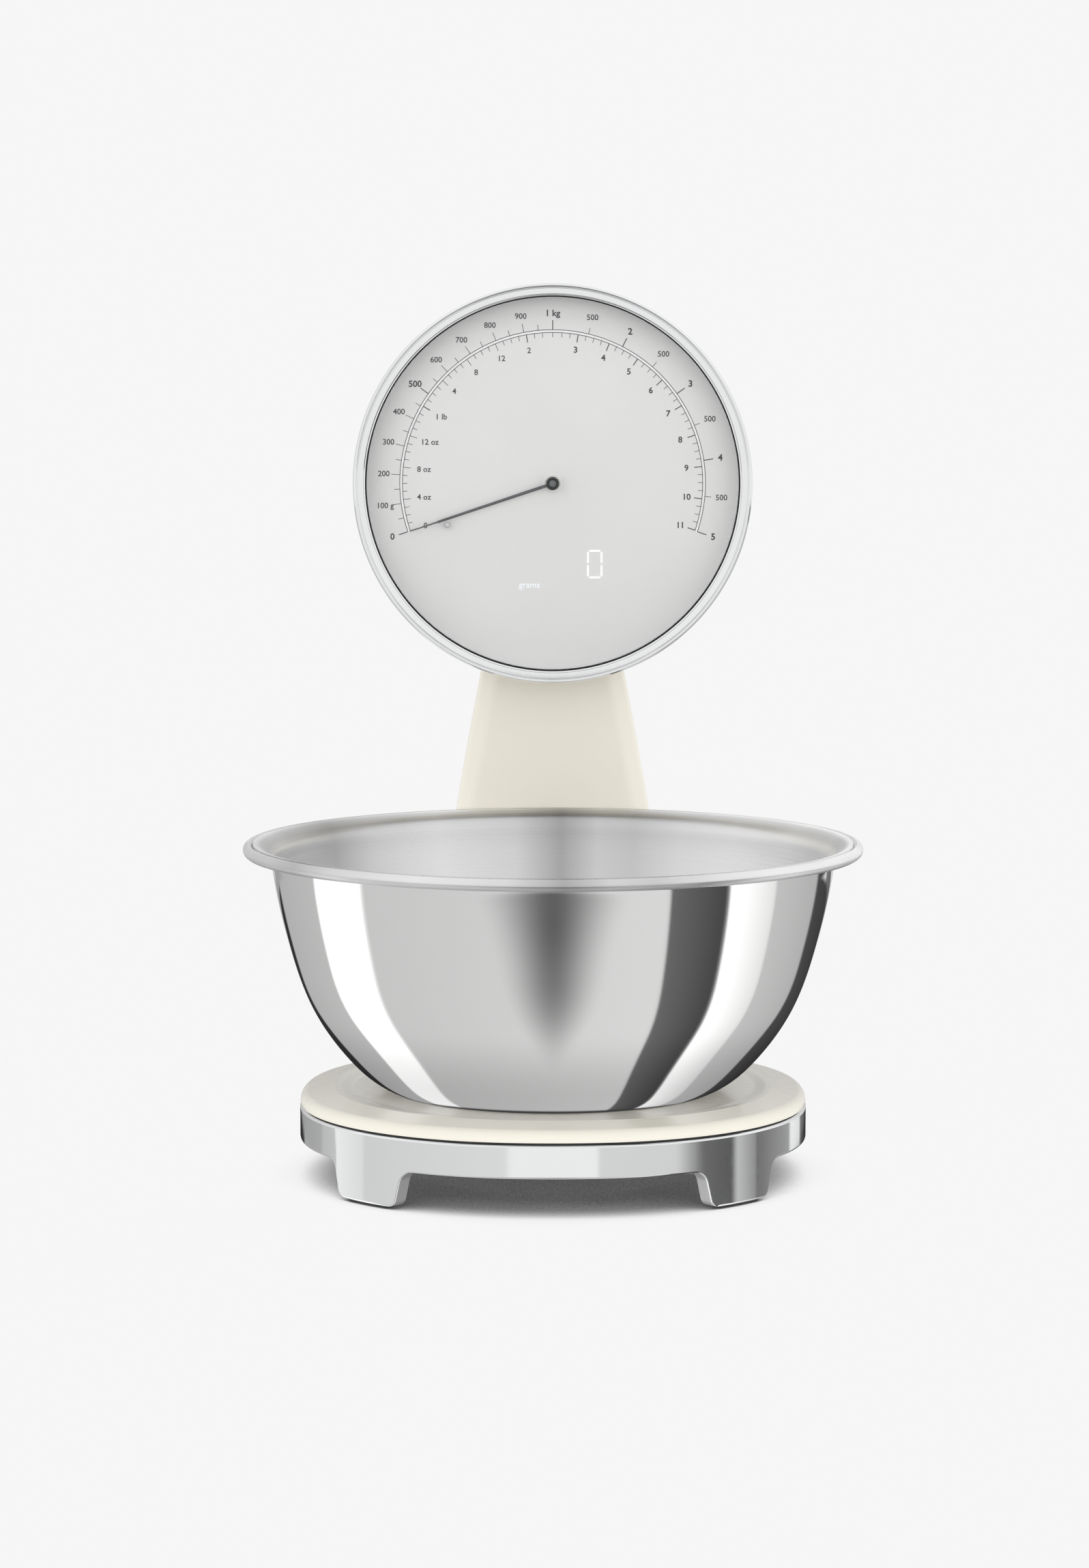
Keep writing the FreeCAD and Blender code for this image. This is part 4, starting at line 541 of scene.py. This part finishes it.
# The base's plan is four side arcs joined by four corner arcs, whose centres lie this far out each way.
SIDE_ARC, CORNER_ARC, CORNER_AT = 150.0, 99.2, 7.69
CORNER_FROM = math.atan2(CORNER_AT, SIDE_ARC - BASE_HALF + CORNER_AT)
SKIRT_LOW, FOOT_LOW = 16.4, RING_LOW.z
FOOT_TIP, FOOT_ROOT, FOOT_CLEAR = 16.3, 20.2, 34.0    # half widths of a foot, and of the space round it


def outline(angle, inset=0.0):
    """The point of the base's plan outline whose outward normal has that angle."""
    quarter = round(angle / (math.pi / 2)) * math.pi / 2
    if abs(angle - quarter) <= CORNER_FROM:
        back = BASE_HALF - SIDE_ARC
        centre, radius = (back * math.cos(quarter), back * math.sin(quarter)), SIDE_ARC
    else:
        centre = (math.copysign(CORNER_AT, math.cos(angle)), math.copysign(CORNER_AT, math.sin(angle)))
        radius = CORNER_ARC
    return (centre[0] + (radius - inset) * math.cos(angle), centre[1] + (radius - inset) * math.sin(angle))


def evenly(line, longest):
    """The line with points added wherever its first numbers lie further apart than the longest step."""
    filled = [line[0]]
    for (a, b), (a_next, b_next) in zip(line, line[1:]):
        steps = max(1, math.ceil((a_next - a) / longest))
        filled += [(a + (a_next - a) * k / steps, b + (b_next - b) * k / steps) for k in range(1, steps + 1)]
    return filled


def ring_columns():
    """(normal angle, height of the lower edge) round the ring, close together at the feet."""
    foot = rounded([(0, FOOT_LOW), (FOOT_TIP, FOOT_LOW, 3.5), (FOOT_ROOT, SKIRT_LOW, 6.5),
                    (FOOT_CLEAR, SKIRT_LOW)], 8, False)
    right = [(math.asin(across / CORNER_ARC), low) for across, low in foot]
    clear = right[-1][0]
    gap = math.pi / 2 - 2 * clear
    plain = [(clear + gap * 0.98, SKIRT_LOW)]
    quarter = evenly([(-angle, low) for angle, low in right[:0:-1]] + right + plain, math.radians(1.1))
    return [(math.pi / 4 + turn * math.pi / 2 + angle, low) for turn in range(4) for angle, low in quarter]


def make_base_ring():
    """Chrome ring on four feet; each column of its wall is one rounded section."""
    top, lip, step, wall = RING_HIGH.z, 1.8, 1.6, 8.0

    def section(low):
        return rounded([
            (0, low, 0.8), (0, top, 0.7), (lip, top, 0.3), (lip, top - step), (wall, top - step, 0.3),
            (wall, low, 0.5)], 3)

    def kind(inset, height):
        """The finish of a point: 1 is the seal in the step behind the lip, and 2 the underside, in darker
        chrome as painted shade.
        """
        if inset > lip - 0.1 and top - step - 0.1 < height < top - 0.1:
            return 1
        return 2 if inset > 0.7 and height < SKIRT_LOW + 1 else 0

    loops = [[(*outline(angle, inset), height) for inset, height in section(low)]
             for angle, low in ring_columns()]
    kinds = [kind(*point) for point in section(SKIRT_LOW)]
    strips = [first if first == second else 0 for first, second in zip(kinds, kinds[1:] + kinds[:1])]
    stacked("base_ring_skirt", loops, [FINISHES["chrome"], SEAL, SHADED_UNDERSIDE_CHROME], "base", ["base_ring"],
            closed=True, sharp=40, chosen=strips * len(loops))


def box_loop(half, front, back, corner, inset, z):
    """A rounded rectangle that is square at its hidden front."""
    corners = [(-half + inset, front), (half - inset, front), (half - inset, back - inset, corner - inset),
               (-half + inset, back - inset, corner - inset)]
    return [(x, y, z) for x, y in rounded(corners, 10)]


def make_deck():
    """The part of the base behind the plate that carries the column, hollow underneath."""
    top, front, back = RING_HIGH.z - 0.03, 99.0, RING_HIGH.y - AXIS_Y
    half, corner, wall = 64.0, 12.0, 4.0
    skin = [(wall, top - 3), (wall, SKIRT_LOW), (0.5, SKIRT_LOW), (0, SKIRT_LOW + 0.6), (0, top - 0.7),
            (0.2, top - 0.2), (0.7, top)]
    loops = [box_loop(half, front, back, corner, inset, z) for inset, z in skin]
    stacked("base_deck", loops, FINISHES["chrome"], "base", ["base_ring"], sharp=40)


def make_plate():
    """Cream plate: rounded edge, a sloping shoulder up to a crease, and a shallow seat for the bowl."""
    crease, seat_at, top, seat = 14.5, 84.0, PLATE_HIGH.z, BOWL_LOW.z - 0.02
    wall, roof, turns, steps = 2.4, 35.1, 240, 8
    gap = BASE_HALF - PLATE_HIGH.x
    edge = rounded([(0.4, PLATE_LOW.z), (0, PLATE_LOW.z, 0.3), (0, top - 2.2, 4.2), (crease, top, 1.5),
                    (24, top - 0.5)], 8, False)
    hollow = [(wall, roof), (wall, PLATE_LOW.z)]
    angles = [math.tau * k / turns for k in range(turns)]
    loops = [[(*outline(angle, gap + inset), z) for angle in angles] for inset, z in hollow + edge[:-1]]
    rims = [outline(angle, gap + crease + 0.6) for angle in angles]
    for step in range(1, steps + 1):
        share = step / steps
        height = top + (seat - top) * (share * share * (3 - 2 * share))
        loops.append([
            (x + share * (seat_at * math.cos(angle) - x), y + share * (seat_at * math.sin(angle) - y), height)
            for angle, (x, y) in zip(angles, rims)])
    stacked("weighing_plate_shell", loops, FINISHES["cream_body"], "platform", ["weighing_plate"])


def make_bowl():
    """Thin bowl: mirror outside, brushed inside, its wall flaring out into a rolled rim."""
    thick, seat, rim_radius, roll_steps = 0.9, BOWL_LOW.z, 2.6, 28
    rim_at, rim_up = BOWL_HIGH.x - rim_radius, BOWL_HIGH.z - rim_radius
    wall = [(69.2, 0), (77, 4.2), (87.8, 14.2), (101.8, 34.4), (111.9, 62.2), (117.3, 85), (118.9, 95.3)]
    landing = rim_up + rim_radius - thick - seat
    meets = math.pi - math.asin(1 - thick / rim_radius)
    flare = [wall[-1], (120.1, landing, 8.0), (rim_at + rim_radius * math.cos(meets), landing)]
    outer = spline(wall, first=(1, 0.4), last=(0.12, 1), count=90)[:-1] + rounded(flare, 14, False)
    outer = [(radius, seat + up) for radius, up in outer]
    inner = offset(outer, thick)
    roll = []
    for k in range(1, roll_steps + 1):
        turn = meets + (2.5 * math.pi - meets) * k / roll_steps
        roll.append((rim_at + rim_radius * math.cos(turn), rim_up + rim_radius * math.sin(turn)))
    line = [(0, seat)] + outer + roll + inner[::-1] + [(0, inner[0][1])]
    brushed_from = len(outer) + 2
    turned("bowl_shell", line, [FINISHES["bowl_steel"], BRUSHED], "bowl", ["bowl"], place=on_table,
           turns=256, closed=False, split=brushed_from)


def make_foot_pads():
    """Rubber soles with rounded ends, one under each foot."""
    names = {"back_right": 45, "back_left": 135, "front_left": 225, "front_right": 315}
    near, far, half, corner = 102.7, 108.5, 11.8, 1.5
    middle = (near + far) / 2
    plan = rounded([(r, t, corner) for r, t in ((near, -half), (far, -half), (far, half), (near, half))], 5)
    for label, degrees in names.items():
        along, across = math.cos(math.radians(degrees)), math.sin(math.radians(degrees))
        loops = []
        for inset, z in ((0.5, 0), (0.1, 0.2), (0, 0.5), (0, FOOT_LOW)):
            loop = [(r - math.copysign(inset, r - middle), t - math.copysign(inset, t)) for r, t in plan]
            loops.append([(r * along - t * across, r * across + t * along, z) for r, t in loop])
        stacked("foot_sole_" + label, loops, FINISHES["black_rubber"], "base", ["foot_pad_" + label])


# ---------------------------------------------------------------------------------------------
# Column
# ---------------------------------------------------------------------------------------------

COLUMN_BASE, COLUMN_KNEE, COLUMN_TOP = RING_HIGH.z, 141.0, 212.0
COLUMN_TOP_HALF = 30.4
COLUMN_FRONT, COLUMN_LEAN, COLUMN_BACK = 134.0, 25.0, 146.0
COLUMN_WALL = 2.5
DRUM_RADIUS = 84.0
UNDER_DRUM = DRUM_RADIUS + 0.1


def column_half(z):
    """The column narrows evenly upwards."""
    return COLUMN_HIGH.x - (COLUMN_HIGH.x - COLUMN_TOP_HALF) * (z - COLUMN_BASE) / (COLUMN_TOP - COLUMN_BASE)


def column_front(z):
    """The column's front leans back to the knee and is upright above it."""
    below = max(0.0, (COLUMN_KNEE - z) / (COLUMN_KNEE - COLUMN_BASE))
    return COLUMN_FRONT - COLUMN_LEAN * below ** 1.5


def column_section(z, inset):
    """Half open section from the back left, round the bevelled front corners, to the back right."""
    half, front, back = column_half(z) - inset, column_front(z) + inset, COLUMN_BACK
    wide, deep = 7, 3.5
    corners = [(-half, back), (-half, front + deep, 3), (-half + wide, front, 9), (half - wide, front, 9),
               (half, front + deep, 3), (half, back)]
    return rounded(corners, 5, False)


def make_column():
    """Front shell of the column, its top edge cut to sit under the drum."""
    steps = 40
    saddle = DIAL_Z - math.sqrt(UNDER_DRUM ** 2 - column_half(COLUMN_TOP - 2) ** 2)
    loops = []
    for step in range(steps + 1):
        level = COLUMN_BASE + (saddle - COLUMN_BASE) * step / steps
        share = max(0.0, (level - COLUMN_KNEE) / (saddle - COLUMN_KNEE))
        section = column_section(level, 0) + column_section(level, COLUMN_WALL)[::-1]
        loops.append([(x, y, level - share * (saddle - DIAL_Z + math.sqrt(UNDER_DRUM ** 2 - x * x)))
                      for x, y in section])
    count = len(loops[0])
    points = [on_table(*point) for loop in loops for point in loop]
    rings = [list(range(k * count, (k + 1) * count)) for k in range(len(loops))]
    faces = joined(rings)
    for ring in (rings[0], rings[-1]):
        for k in range(count // 2 - 1):
            faces.append([ring[k], ring[k + 1], ring[count - 2 - k], ring[count - 1 - k]])
    piece("column_front", points, faces, FINISHES["cream_body"], "base", ["column_front_shell"])
    softened("column_rear_shell", 0.6, "column_rear")


# ---------------------------------------------------------------------------------------------
# Dial head
# ---------------------------------------------------------------------------------------------

GLASS_RADIUS = 82.3
BEZEL_RADIUS = BEZEL_HIGH.x
DIAL_FRONT = DIAL_LOW.y - FACE_Y


def make_bezel():
    """Chrome bezel: thin outer lip, a groove, the flat band and a step down to the glass."""
    line = rounded([
        (BEZEL_RADIUS, 12), (BEZEL_RADIUS, 1.2, 1.0), (87.6, 0.0, 0.4), (86.9, 0.15, 0.2), (86.6, 1.5, 0.3),
        (86.2, 0.75, 0.3), (83.7, 0.55, 0.3), (83.4, 1.2, 0.15), (83.0, 1.25, 0.1)], 4, False)
    seal_from = len(line)
    line += [(82.9, 1.35), (82.5, 1.4), (GLASS_RADIUS, 1.99), (85, 2.0), (85, 12)]
    turned("bezel_ring", line, [FINISHES["chrome"], SEAL], "base", ["bezel"], turns=256, split=seal_from)


def make_lens():
    edge, front, back = 84.5, 2.0, 4.0
    line = rounded([(0, front), (edge, front, 0.2), (edge, back, 0.2), (0, back)], 3, False)
    turned("lens_glass", line, FINISHES["glass"], "base", ["lens"], closed=False)


def make_dial_face():
    """Silver disc with a hole for the pointer's shaft."""
    hole, edge, back = 3.0, 84.9, DIAL_FRONT + 1.2
    line = rounded([(hole, DIAL_FRONT), (edge, DIAL_FRONT, 0.2), (edge, back, 0.2), (hole, back)], 3)
    turned("dial_face", line, FINISHES["dial_silver"], "base", ["dial_plate"])


def make_drum():
    """Drum with a flange behind the bezel, and the rear cover with its edges rounded."""
    inside, flange, front, shoulder, back = 81.2, 87.9, 12.05, 14.0, 47.9
    line = rounded([(inside, front), (flange, front, 0.3), (flange, shoulder, 0.8),
                    (DRUM_RADIUS, shoulder, 0.8), (DRUM_RADIUS, back, 0.3), (inside, back)], 4)
    turned("drum_shell", line, FINISHES["cream_body"], "base", ["drum_housing"], turns=256)
    softened("back_cover", 0.5, "rear_cover")


class Print:
    """Marks printed on the dial: flat closed shapes just proud of its face."""

    def __init__(self, proud=0.03):
        self.points, self.faces = [], []
        self.front, self.back = DIAL_FRONT - proud, DIAL_FRONT - 0.001

    def polygon(self, corners):
        first, count = len(self.points), len(corners)
        for depth in (self.front, self.back):
            self.points += [on_head(u, v, depth) for u, v in corners]
        self.faces.append(list(range(first, first + count)))
        self.faces.append(list(range(first + 2 * count - 1, first + count - 1, -1)))
        for k in range(count):
            after = (k + 1) % count
            self.faces.append([first + k, first + count + k, first + count + after, first + after])

    def tick(self, degrees, inner, outer, wide):
        """A radial mark; degrees are clockwise from the top."""
        angle = math.radians(degrees)
        across, up = Vector((math.cos(angle), -math.sin(angle))), Vector((math.sin(angle), math.cos(angle)))
        corners = [up * inner - across * wide / 2, up * inner + across * wide / 2,
                   up * outer + across * wide / 2, up * outer - across * wide / 2]
        self.polygon([tuple(corner) for corner in corners])

    def arc(self, inner, outer, half_sweep):
        """A band of a circle about the top, as short four-sided pieces that share their ends."""
        first, steps = len(self.points), 144
        section = ((inner, self.front), (outer, self.front), (outer, self.back), (inner, self.back))
        for k in range(steps + 1):
            angle = math.radians(half_sweep * (2 * k / steps - 1))
            for radius, depth in section:
                self.points.append(on_head(radius * math.sin(angle), radius * math.cos(angle), depth))
        rings = [list(range(first + 4 * k, first + 4 * k + 4)) for k in range(steps + 1)]
        self.faces += joined(rings) + [rings[0][::-1], rings[-1]]

    def word(self, text, u, v, size, bold):
        """Lettering with its middle at the place; bold is how far its strokes are thickened."""
        curve = bpy.data.curves.new(text, "FONT")
        curve.body, curve.size, curve.offset = text, size, bold
        curve.align_x, curve.align_y = "CENTER", "CENTER"
        curve.extrude = (self.back - self.front) / 2
        curve.resolution_u = 3
        letters = bpy.data.objects.new(text, curve)
        bpy.context.scene.collection.objects.link(letters)
        bpy.context.view_layer.update()
        mesh = bpy.data.meshes.new_from_object(letters.evaluated_get(bpy.context.evaluated_depsgraph_get()))
        middle = (self.front + self.back) / 2
        first = len(self.points)
        places = [corner.co for corner in mesh.vertices]
        self.points += [on_head(u + place.x, v + place.y, middle - place.z) for place in places]
        self.faces += [[first + corner for corner in face.vertices] for face in mesh.polygons]
        bpy.data.objects.remove(letters)
        bpy.data.curves.remove(curve)
        bpy.data.meshes.remove(mesh)

    def finish(self, name, material, replaces=()):
        piece(name, self.points, self.faces, material, "base", replaces, sharp=20)


SWEEP = 108.5
POUND = 0.45359237
LINE_INNER, LINE_OUTER, BORDER = 66.75, 67.65, 0.3
# Marks of the two scales: the radii where they start and end, and their width.
MARKS = {
    "50 g": (67.9, 70.3, 0.26), "100 g": (67.9, 71.7, 0.26), "500 g": (67.9, 72.0, 0.42),
    "half kilogram": (67.9, 70.5, 0.26), "kilogram": (67.9, 72.0, 0.42),
    "plain ounce": (64.5, 66.5, 0.26), "named ounce": (63.3, 66.5, 0.26), "pound": (63.1, 66.5, 0.42)}
# Their numbers: the radius of the middle, the size, and how far the strokes are thickened.
NUMBERS = {
    "100 g": (75.0, 3.5, 0.06), "500 g": (75.0, 3.9, 0.10),
    "half kilogram": (75.2, 3.5, 0.06), "kilogram": (75.2, 4.0, 0.12),
    "named ounce": (59.5, 3.5, 0.06), "worded ounce": (57.4, 3.5, 0.06), "pound": (59.7, 3.75, 0.10)}


def dial_angle(kilograms):
    """Degrees clockwise from the top: the first kilogram takes half the sweep, four more the rest."""
    return SWEEP * (kilograms - 1) if kilograms <= 1 else SWEEP * (kilograms - 1) / 4


def around_dial(degrees, radius):
    angle = math.radians(degrees)
    return radius * math.sin(angle), radius * math.cos(angle)


def make_dial_print():
    """Metric scale outside and pound scale inside a white line with dark borders."""
    marks, numbers, line = Print(), Print(), Print(0.02)

    def number(text, degrees, kind):
        radius, size, bold = NUMBERS[kind]
        numbers.word(text, *around_dial(degrees, radius), size, bold)

    line.arc(LINE_INNER, LINE_OUTER, SWEEP)
    marks.arc(LINE_OUTER, LINE_OUTER + BORDER, SWEEP)
    marks.arc(LINE_INNER - BORDER, LINE_INNER, SWEEP)
    for grams in range(0, 1001, 50):
        degrees = dial_angle(grams / 1000)
        kind = "500 g" if grams % 500 == 0 else "100 g" if grams % 100 == 0 else "50 g"
        marks.tick(degrees, *MARKS[kind])
        if kind in NUMBERS:
            number({0: "0", 100: "100 g", 1000: "1 kg"}.get(grams, str(grams)), degrees, kind)
    for halves in range(3, 11):
        degrees = dial_angle(halves / 2)
        whole = halves % 2 == 0
        kind = "kilogram" if whole else "half kilogram"
        marks.tick(degrees, *MARKS[kind])
        number(str(halves // 2) if whole else "500", degrees, kind)
    for ounces in range(0, 35):
        degrees = dial_angle(ounces * POUND / 16)
        kind = "pound" if ounces % 16 == 0 else "named ounce" if ounces % 4 == 0 else "plain ounce"
        marks.tick(degrees, *MARKS[kind])
        if ounces % 4 == 0:
            worded = {4: "4 oz", 8: "8 oz", 12: "12 oz", 16: "1 lb"}
            plain = "2" if ounces == 32 else str(ounces % 16)
            number(worded.get(ounces, plain), degrees, "worded ounce" if ounces in worded else "named ounce")
    marks.tick(0, *MARKS["plain ounce"])
    for quarters in range(10, 45):
        degrees = dial_angle(quarters * POUND / 4)
        if degrees > SWEEP:
            break
        whole = quarters % 4 == 0
        marks.tick(degrees, *MARKS["pound" if whole else "plain ounce"])
        if whole:
            number(str(quarters // 4), degrees, "pound")
    line.finish("dial_line", WHITE_LINE)
    marks.finish("dial_marks", INK)
    numbers.finish("dial_numbers", INK)


def make_digit():
    """The lit zero, six bars of a seven-bar figure, and the lit unit word."""
    digit = Print(0.05)
    centre, half_wide, half_high, thick, gap = (18.7, -35.9), 3.0, 5.9, 0.5, 0.25
    for side in (-1, 1):
        for low, high in ((-half_high, 0), (0, half_high)):
            u, bottom, top = centre[0] + side * half_wide, centre[1] + low + gap, centre[1] + high - gap
            digit.polygon([(u, bottom), (u + thick, bottom + thick), (u + thick, top - thick), (u, top),
                           (u - thick, top - thick), (u - thick, bottom + thick)])
        v = centre[1] + side * half_high
        left, right = centre[0] - half_wide + gap, centre[0] + half_wide - gap
        digit.polygon([(left, v), (left + thick, v + thick), (right - thick, v + thick), (right, v),
                       (right - thick, v - thick), (left + thick, v - thick)])
    digit.finish("digit_bars", FINISHES["digit_window"], ["light_guide"])
    word = Print(0.05)
    word.word("grams", -10.3, -45.2, 3.9, bold=0.02)
    word.finish("unit_word", WORD_LIGHT)


def make_pointer():
    """Two-faced blade with a finer tip, on a turned hub with a cap."""
    turn = math.radians(90 + SWEEP)
    along, across = Vector((math.cos(turn), math.sin(turn))), Vector((-math.sin(turn), math.cos(turn)))
    ridge, edge, back = 7.2, 7.75, 8.0
    section = ((-1, edge), (0, ridge), (1, edge), (1, back), (-1, back))
    loops = []
    for reach, half in ((1.0, 0.72), (53.5, 0.55), (53.9, 0.38), (66.7, 0.24), (67.0, 0.05)):
        loops.append([(*(along * reach + across * half * side), depth) for side, depth in section])
    stacked("pointer_blade", loops, FINISHES["pointer_metal"], "pointer", ["pointer"], place=on_head,
            sharp=15)
    hub = rounded([(0, 6.3), (1.9, 6.3, 0.1), (2.1, 5.7, 0.2), (2.7, 5.8, 0.3), (3.0, 6.8, 0.4),
                   (3.0, 9.6, 0.3), (0, 9.6)], 4, False)
    turned("pointer_hub", hub, DARK_HUB, "pointer", ["pointer"], turns=64, closed=False)
    cap = rounded([(0, 4.95), (1.2, 5.0, 0.3), (1.65, 5.4, 0.3), (1.65, 5.75), (0, 5.75)], 4, False)
    turned("pointer_cap_button", cap, FINISHES["pointer_metal"], "pointer", ["pointer_cap"], turns=48,
           closed=False)


def make_dial_fittings():
    """Pale flange round the shaft, and the pin that the pointer rests against."""
    flange = rounded([(2.5, 11.9), (2.5, 10.3), (3.9, 10.2, 0.3), (4.2, 10.6, 0.2), (4.2, 11.9)], 4)
    turned("bushing_flange", flange, FINISHES["white_plastic"], "base", ["dial_bushing"], turns=72)
    low, high = span("rest_pin")
    middle = ((low.x + high.x) / 2, (low.z + high.z) / 2 - DIAL_Z)
    pin = rounded([(0, 5.8), (0.9, 5.85, 0.2), (1.35, 6.4, 0.3), (1.35, 11.5), (0, 11.5)], 4, False)
    turned("rest_peg", pin, FINISHES["pin_metal"], "base", ["rest_pin"], turns=40, closed=False,
           place=lambda u, v, depth: on_head(middle[0] + u, middle[1] + v, depth))


make_base_ring()
make_deck()
make_plate()
make_bowl()
make_foot_pads()
make_column()
make_drum()
make_bezel()
make_lens()
make_dial_face()
make_dial_print()
make_digit()
make_pointer()
make_dial_fittings()
for node in ("button_tare", "button_unit"):
    softened(node, 0.5, node + "_cap")
for node in ("base_tray", "battery_door", "column_frame"):
    softened(node, 0.3, node + "_body")


# ---------------------------------------------------------------------------------------------
# Floor, light and camera
# ---------------------------------------------------------------------------------------------

BACKDROP = 0.9215
LOW_PIECES_TOP = 0.045
FLOOR_HALF = 40.0
SHADOW_REACH, SHADOW_TONE = 0.05, 0.06


def hide_base_from_mirrors():
    """The bowl mirrors the studio alone, so whatever lies under it is left out of reflections."""
    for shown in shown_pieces():
        if shown["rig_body"] != "bowl" and max(corner[2] for corner in shown.bound_box) < LOW_PIECES_TOP:
            shown.visible_glossy = False


def make_floor():
    """Pale table: an even tone with a thin soft contact shadow."""
    mesh = bpy.data.meshes.new("floor")
    corners = [(-1, -1), (1, -1), (1, 1), (-1, 1)]
    mesh.from_pydata([(x * FLOOR_HALF, y * FLOOR_HALF, 0) for x, y in corners], [], [(0, 1, 2, 3)])
    material, tree = new_material("floor")
    near = tree.make("AmbientOcclusion", {"Distance": SHADOW_REACH}, samples=8)
    shade = tree.fade(near.outputs["AO"], 0.08, 0.64, SHADOW_TONE, 1.0)
    strength = tree.math("MULTIPLY", shade, BACKDROP)
    glow = tree.make("Emission", {"Color": (1, 1, 1, 1), "Strength": strength})
    tree.make("OutputMaterial", {"Surface": glow.outputs[0]})
    mesh.materials.append(material)
    floor = bpy.data.objects.new("floor", mesh)
    floor.visible_glossy = False
    bpy.context.scene.collection.objects.link(floor)


LOOK_DOWN = math.radians(9.3)    # how far down the camera looks to the base and the bowl's foot
# The studio's panels, each (start in degrees from the front, value there, value at its end), as they are
# mirrored by the bowl, by the upright sides of the ring, plate and bezel, and by whatever faces upwards.
BOWL_PANELS = [
    (-90, 0.03, 0.03), (-78, 0.47, 0.56), (-57.3, 1.3, 1.3), (-42.3, 0.64, 0.78), (24.2, 0.15, 0.065),
    (38.2, 1.3, 0.88), (51.6, 0.60, 0.48), (69.5, 0.07, 0.03)]
RING_PANELS = [
    (-90, 0.30, 0.45), (-64, 0.55, 0.60), (-57.3, 0.95, 0.80), (-46, 0.70, 0.79), (-7.2, 0.95, 0.95),
    (7.3, 0.74, 0.72), (26, 0.70, 0.19), (33.2, 0.16, 0.11), (42.2, 0.13, 0.56), (44.2, 0.56, 0.30),
    (51, 0.18, 0.38), (67.5, 0.95, 0.8), (76, 0.2, 0.1), (85, 0.5, 0.6)]
ABOVE_PANELS = [(-90, 0.5, 0.9), (-50, 1.0, 0.95), (-12, 0.92, 0.92), (12, 0.94, 1.0), (50, 1.0, 0.6)]
CONTACT_TONE = 0.05


def panels(spans, soft):
    """Ramp stops for panels, with edges this many degrees soft to each side."""
    stops = [(0.0, spans[0][1])]
    for (start, value, _), (_, _, before) in zip(spans[1:], spans):
        stops.append(((start - soft + 90) / 180, before))
        stops.append(((start + soft + 90) / 180, value))
    return stops + [(1.0, spans[-1][2])]


def make_world():
    """Studio of upright panels, laid out by the surface that mirrors each of them to the front.

    For a direction of the studio, the facing is that of a mirror which would send the sight from the
    front there: across is its turn from the front, and under is how far it faces down.
    """
    world = bpy.data.worlds.new("studio")
    bpy.context.scene.world = world
    world.use_nodes = True
    tree = Tree(world.node_tree)
    way = tree.make("TexCoord").outputs["Generated"]
    sight = (0.0, math.cos(LOOK_DOWN), -math.sin(LOOK_DOWN))
    facing = tree.make("VectorMath", {0: way, 1: sight}, operation="SUBTRACT").outputs[0]
    facing = tree.make("VectorMath", {0: facing}, operation="NORMALIZE").outputs[0]
    x, y, z = tree.make("SeparateXYZ", {"Vector": facing}).outputs
    under = tree.math("MULTIPLY", z, -1.0)
    across = tree.math("ARCTAN2", x, tree.math("MULTIPLY", y, -1.0))

    # The bowl's panels draw in towards its foot, a dark wedge narrows downwards in their middle, and
    # they darken to the line where the bowl meets the plate.
    drawn_in = tree.fade(under, 0.22, 0.72, 1.0, 0.845)
    place = tree.math("MULTIPLY_ADD", tree.math("DIVIDE", across, drawn_in), 1 / math.pi, 0.5)
    bowl = tree.ramp(place, panels(BOWL_PANELS, 0.35))
    wedge_half = tree.math("MULTIPLY_ADD", under, -0.47, 0.325)
    away = tree.math("DIVIDE", tree.math("ABSOLUTE", across), wedge_half)
    wedge = tree.math("MULTIPLY", tree.fade(away, 0.0, 1.05, 1.0, 0.0),
                      tree.fade(under, 0.16, 0.62, 0.82, 0.0))
    bowl = tree.math("MULTIPLY", bowl, tree.math("SUBTRACT", 1.0, wedge))
    bowl = tree.math("MULTIPLY", bowl, tree.fade(under, 0.4, 0.72, 1.0, 0.72))
    bowl = tree.mix(tree.fade(under, 0.875, 0.905), bowl, CONTACT_TONE)

    straight = tree.math("MULTIPLY_ADD", across, 1 / math.pi, 0.5)
    ring = tree.ramp(straight, panels(RING_PANELS, 0.25))
    above = tree.ramp(straight, panels(ABOVE_PANELS, 2))
    low = tree.mix(tree.fade(under, 0.035, 0.06), ring, bowl)
    mirrored = tree.mix(tree.fade(under, -0.035, -0.02), above, low)

    # Matt surfaces are lit most from the horizon and from the front.
    path = tree.make("LightPath").outputs
    _, back, height = tree.make("SeparateXYZ", {"Vector": way}).outputs
    spread = tree.math("MULTIPLY", tree.fade(height, 0.0, 0.8, 2.2, 0.72),
                       tree.fade(back, -0.1, 0.9, 1.0, 0.45))
    value = tree.mix(path["Is Diffuse Ray"], mirrored, spread)
    strength = tree.mix(path["Is Camera Ray"], value, BACKDROP)
    light = tree.make("Background", {"Color": (1, 1, 1, 1), "Strength": strength})
    tree.make("OutputWorld", {"Surface": light.outputs[0]})


CAMERA_X, CAMERA_AWAY, CAMERA_HEIGHT, TARGET_HEIGHT = -0.0036, 2.0, 0.378, 0.1658


def make_camera():
    """Two metres in front, level with the top of the dial head, looking slightly down."""
    data = bpy.data.cameras.new("camera")
    data.lens, data.sensor_width = 109.13, 36.0
    data.clip_end = 100
    camera = bpy.data.objects.new("camera", data)
    camera.location = (CAMERA_X, AXIS_Y * MM - CAMERA_AWAY, CAMERA_HEIGHT)
    target = Vector((CAMERA_X, AXIS_Y * MM, TARGET_HEIGHT))
    camera.rotation_euler = (target - camera.location).to_track_quat("-Z", "Y").to_euler()
    bpy.context.scene.collection.objects.link(camera)
    bpy.context.scene.camera = camera
    bpy.context.scene.view_settings.view_transform = "Standard"


hide_base_from_mirrors()
make_floor()
make_world()
make_camera()
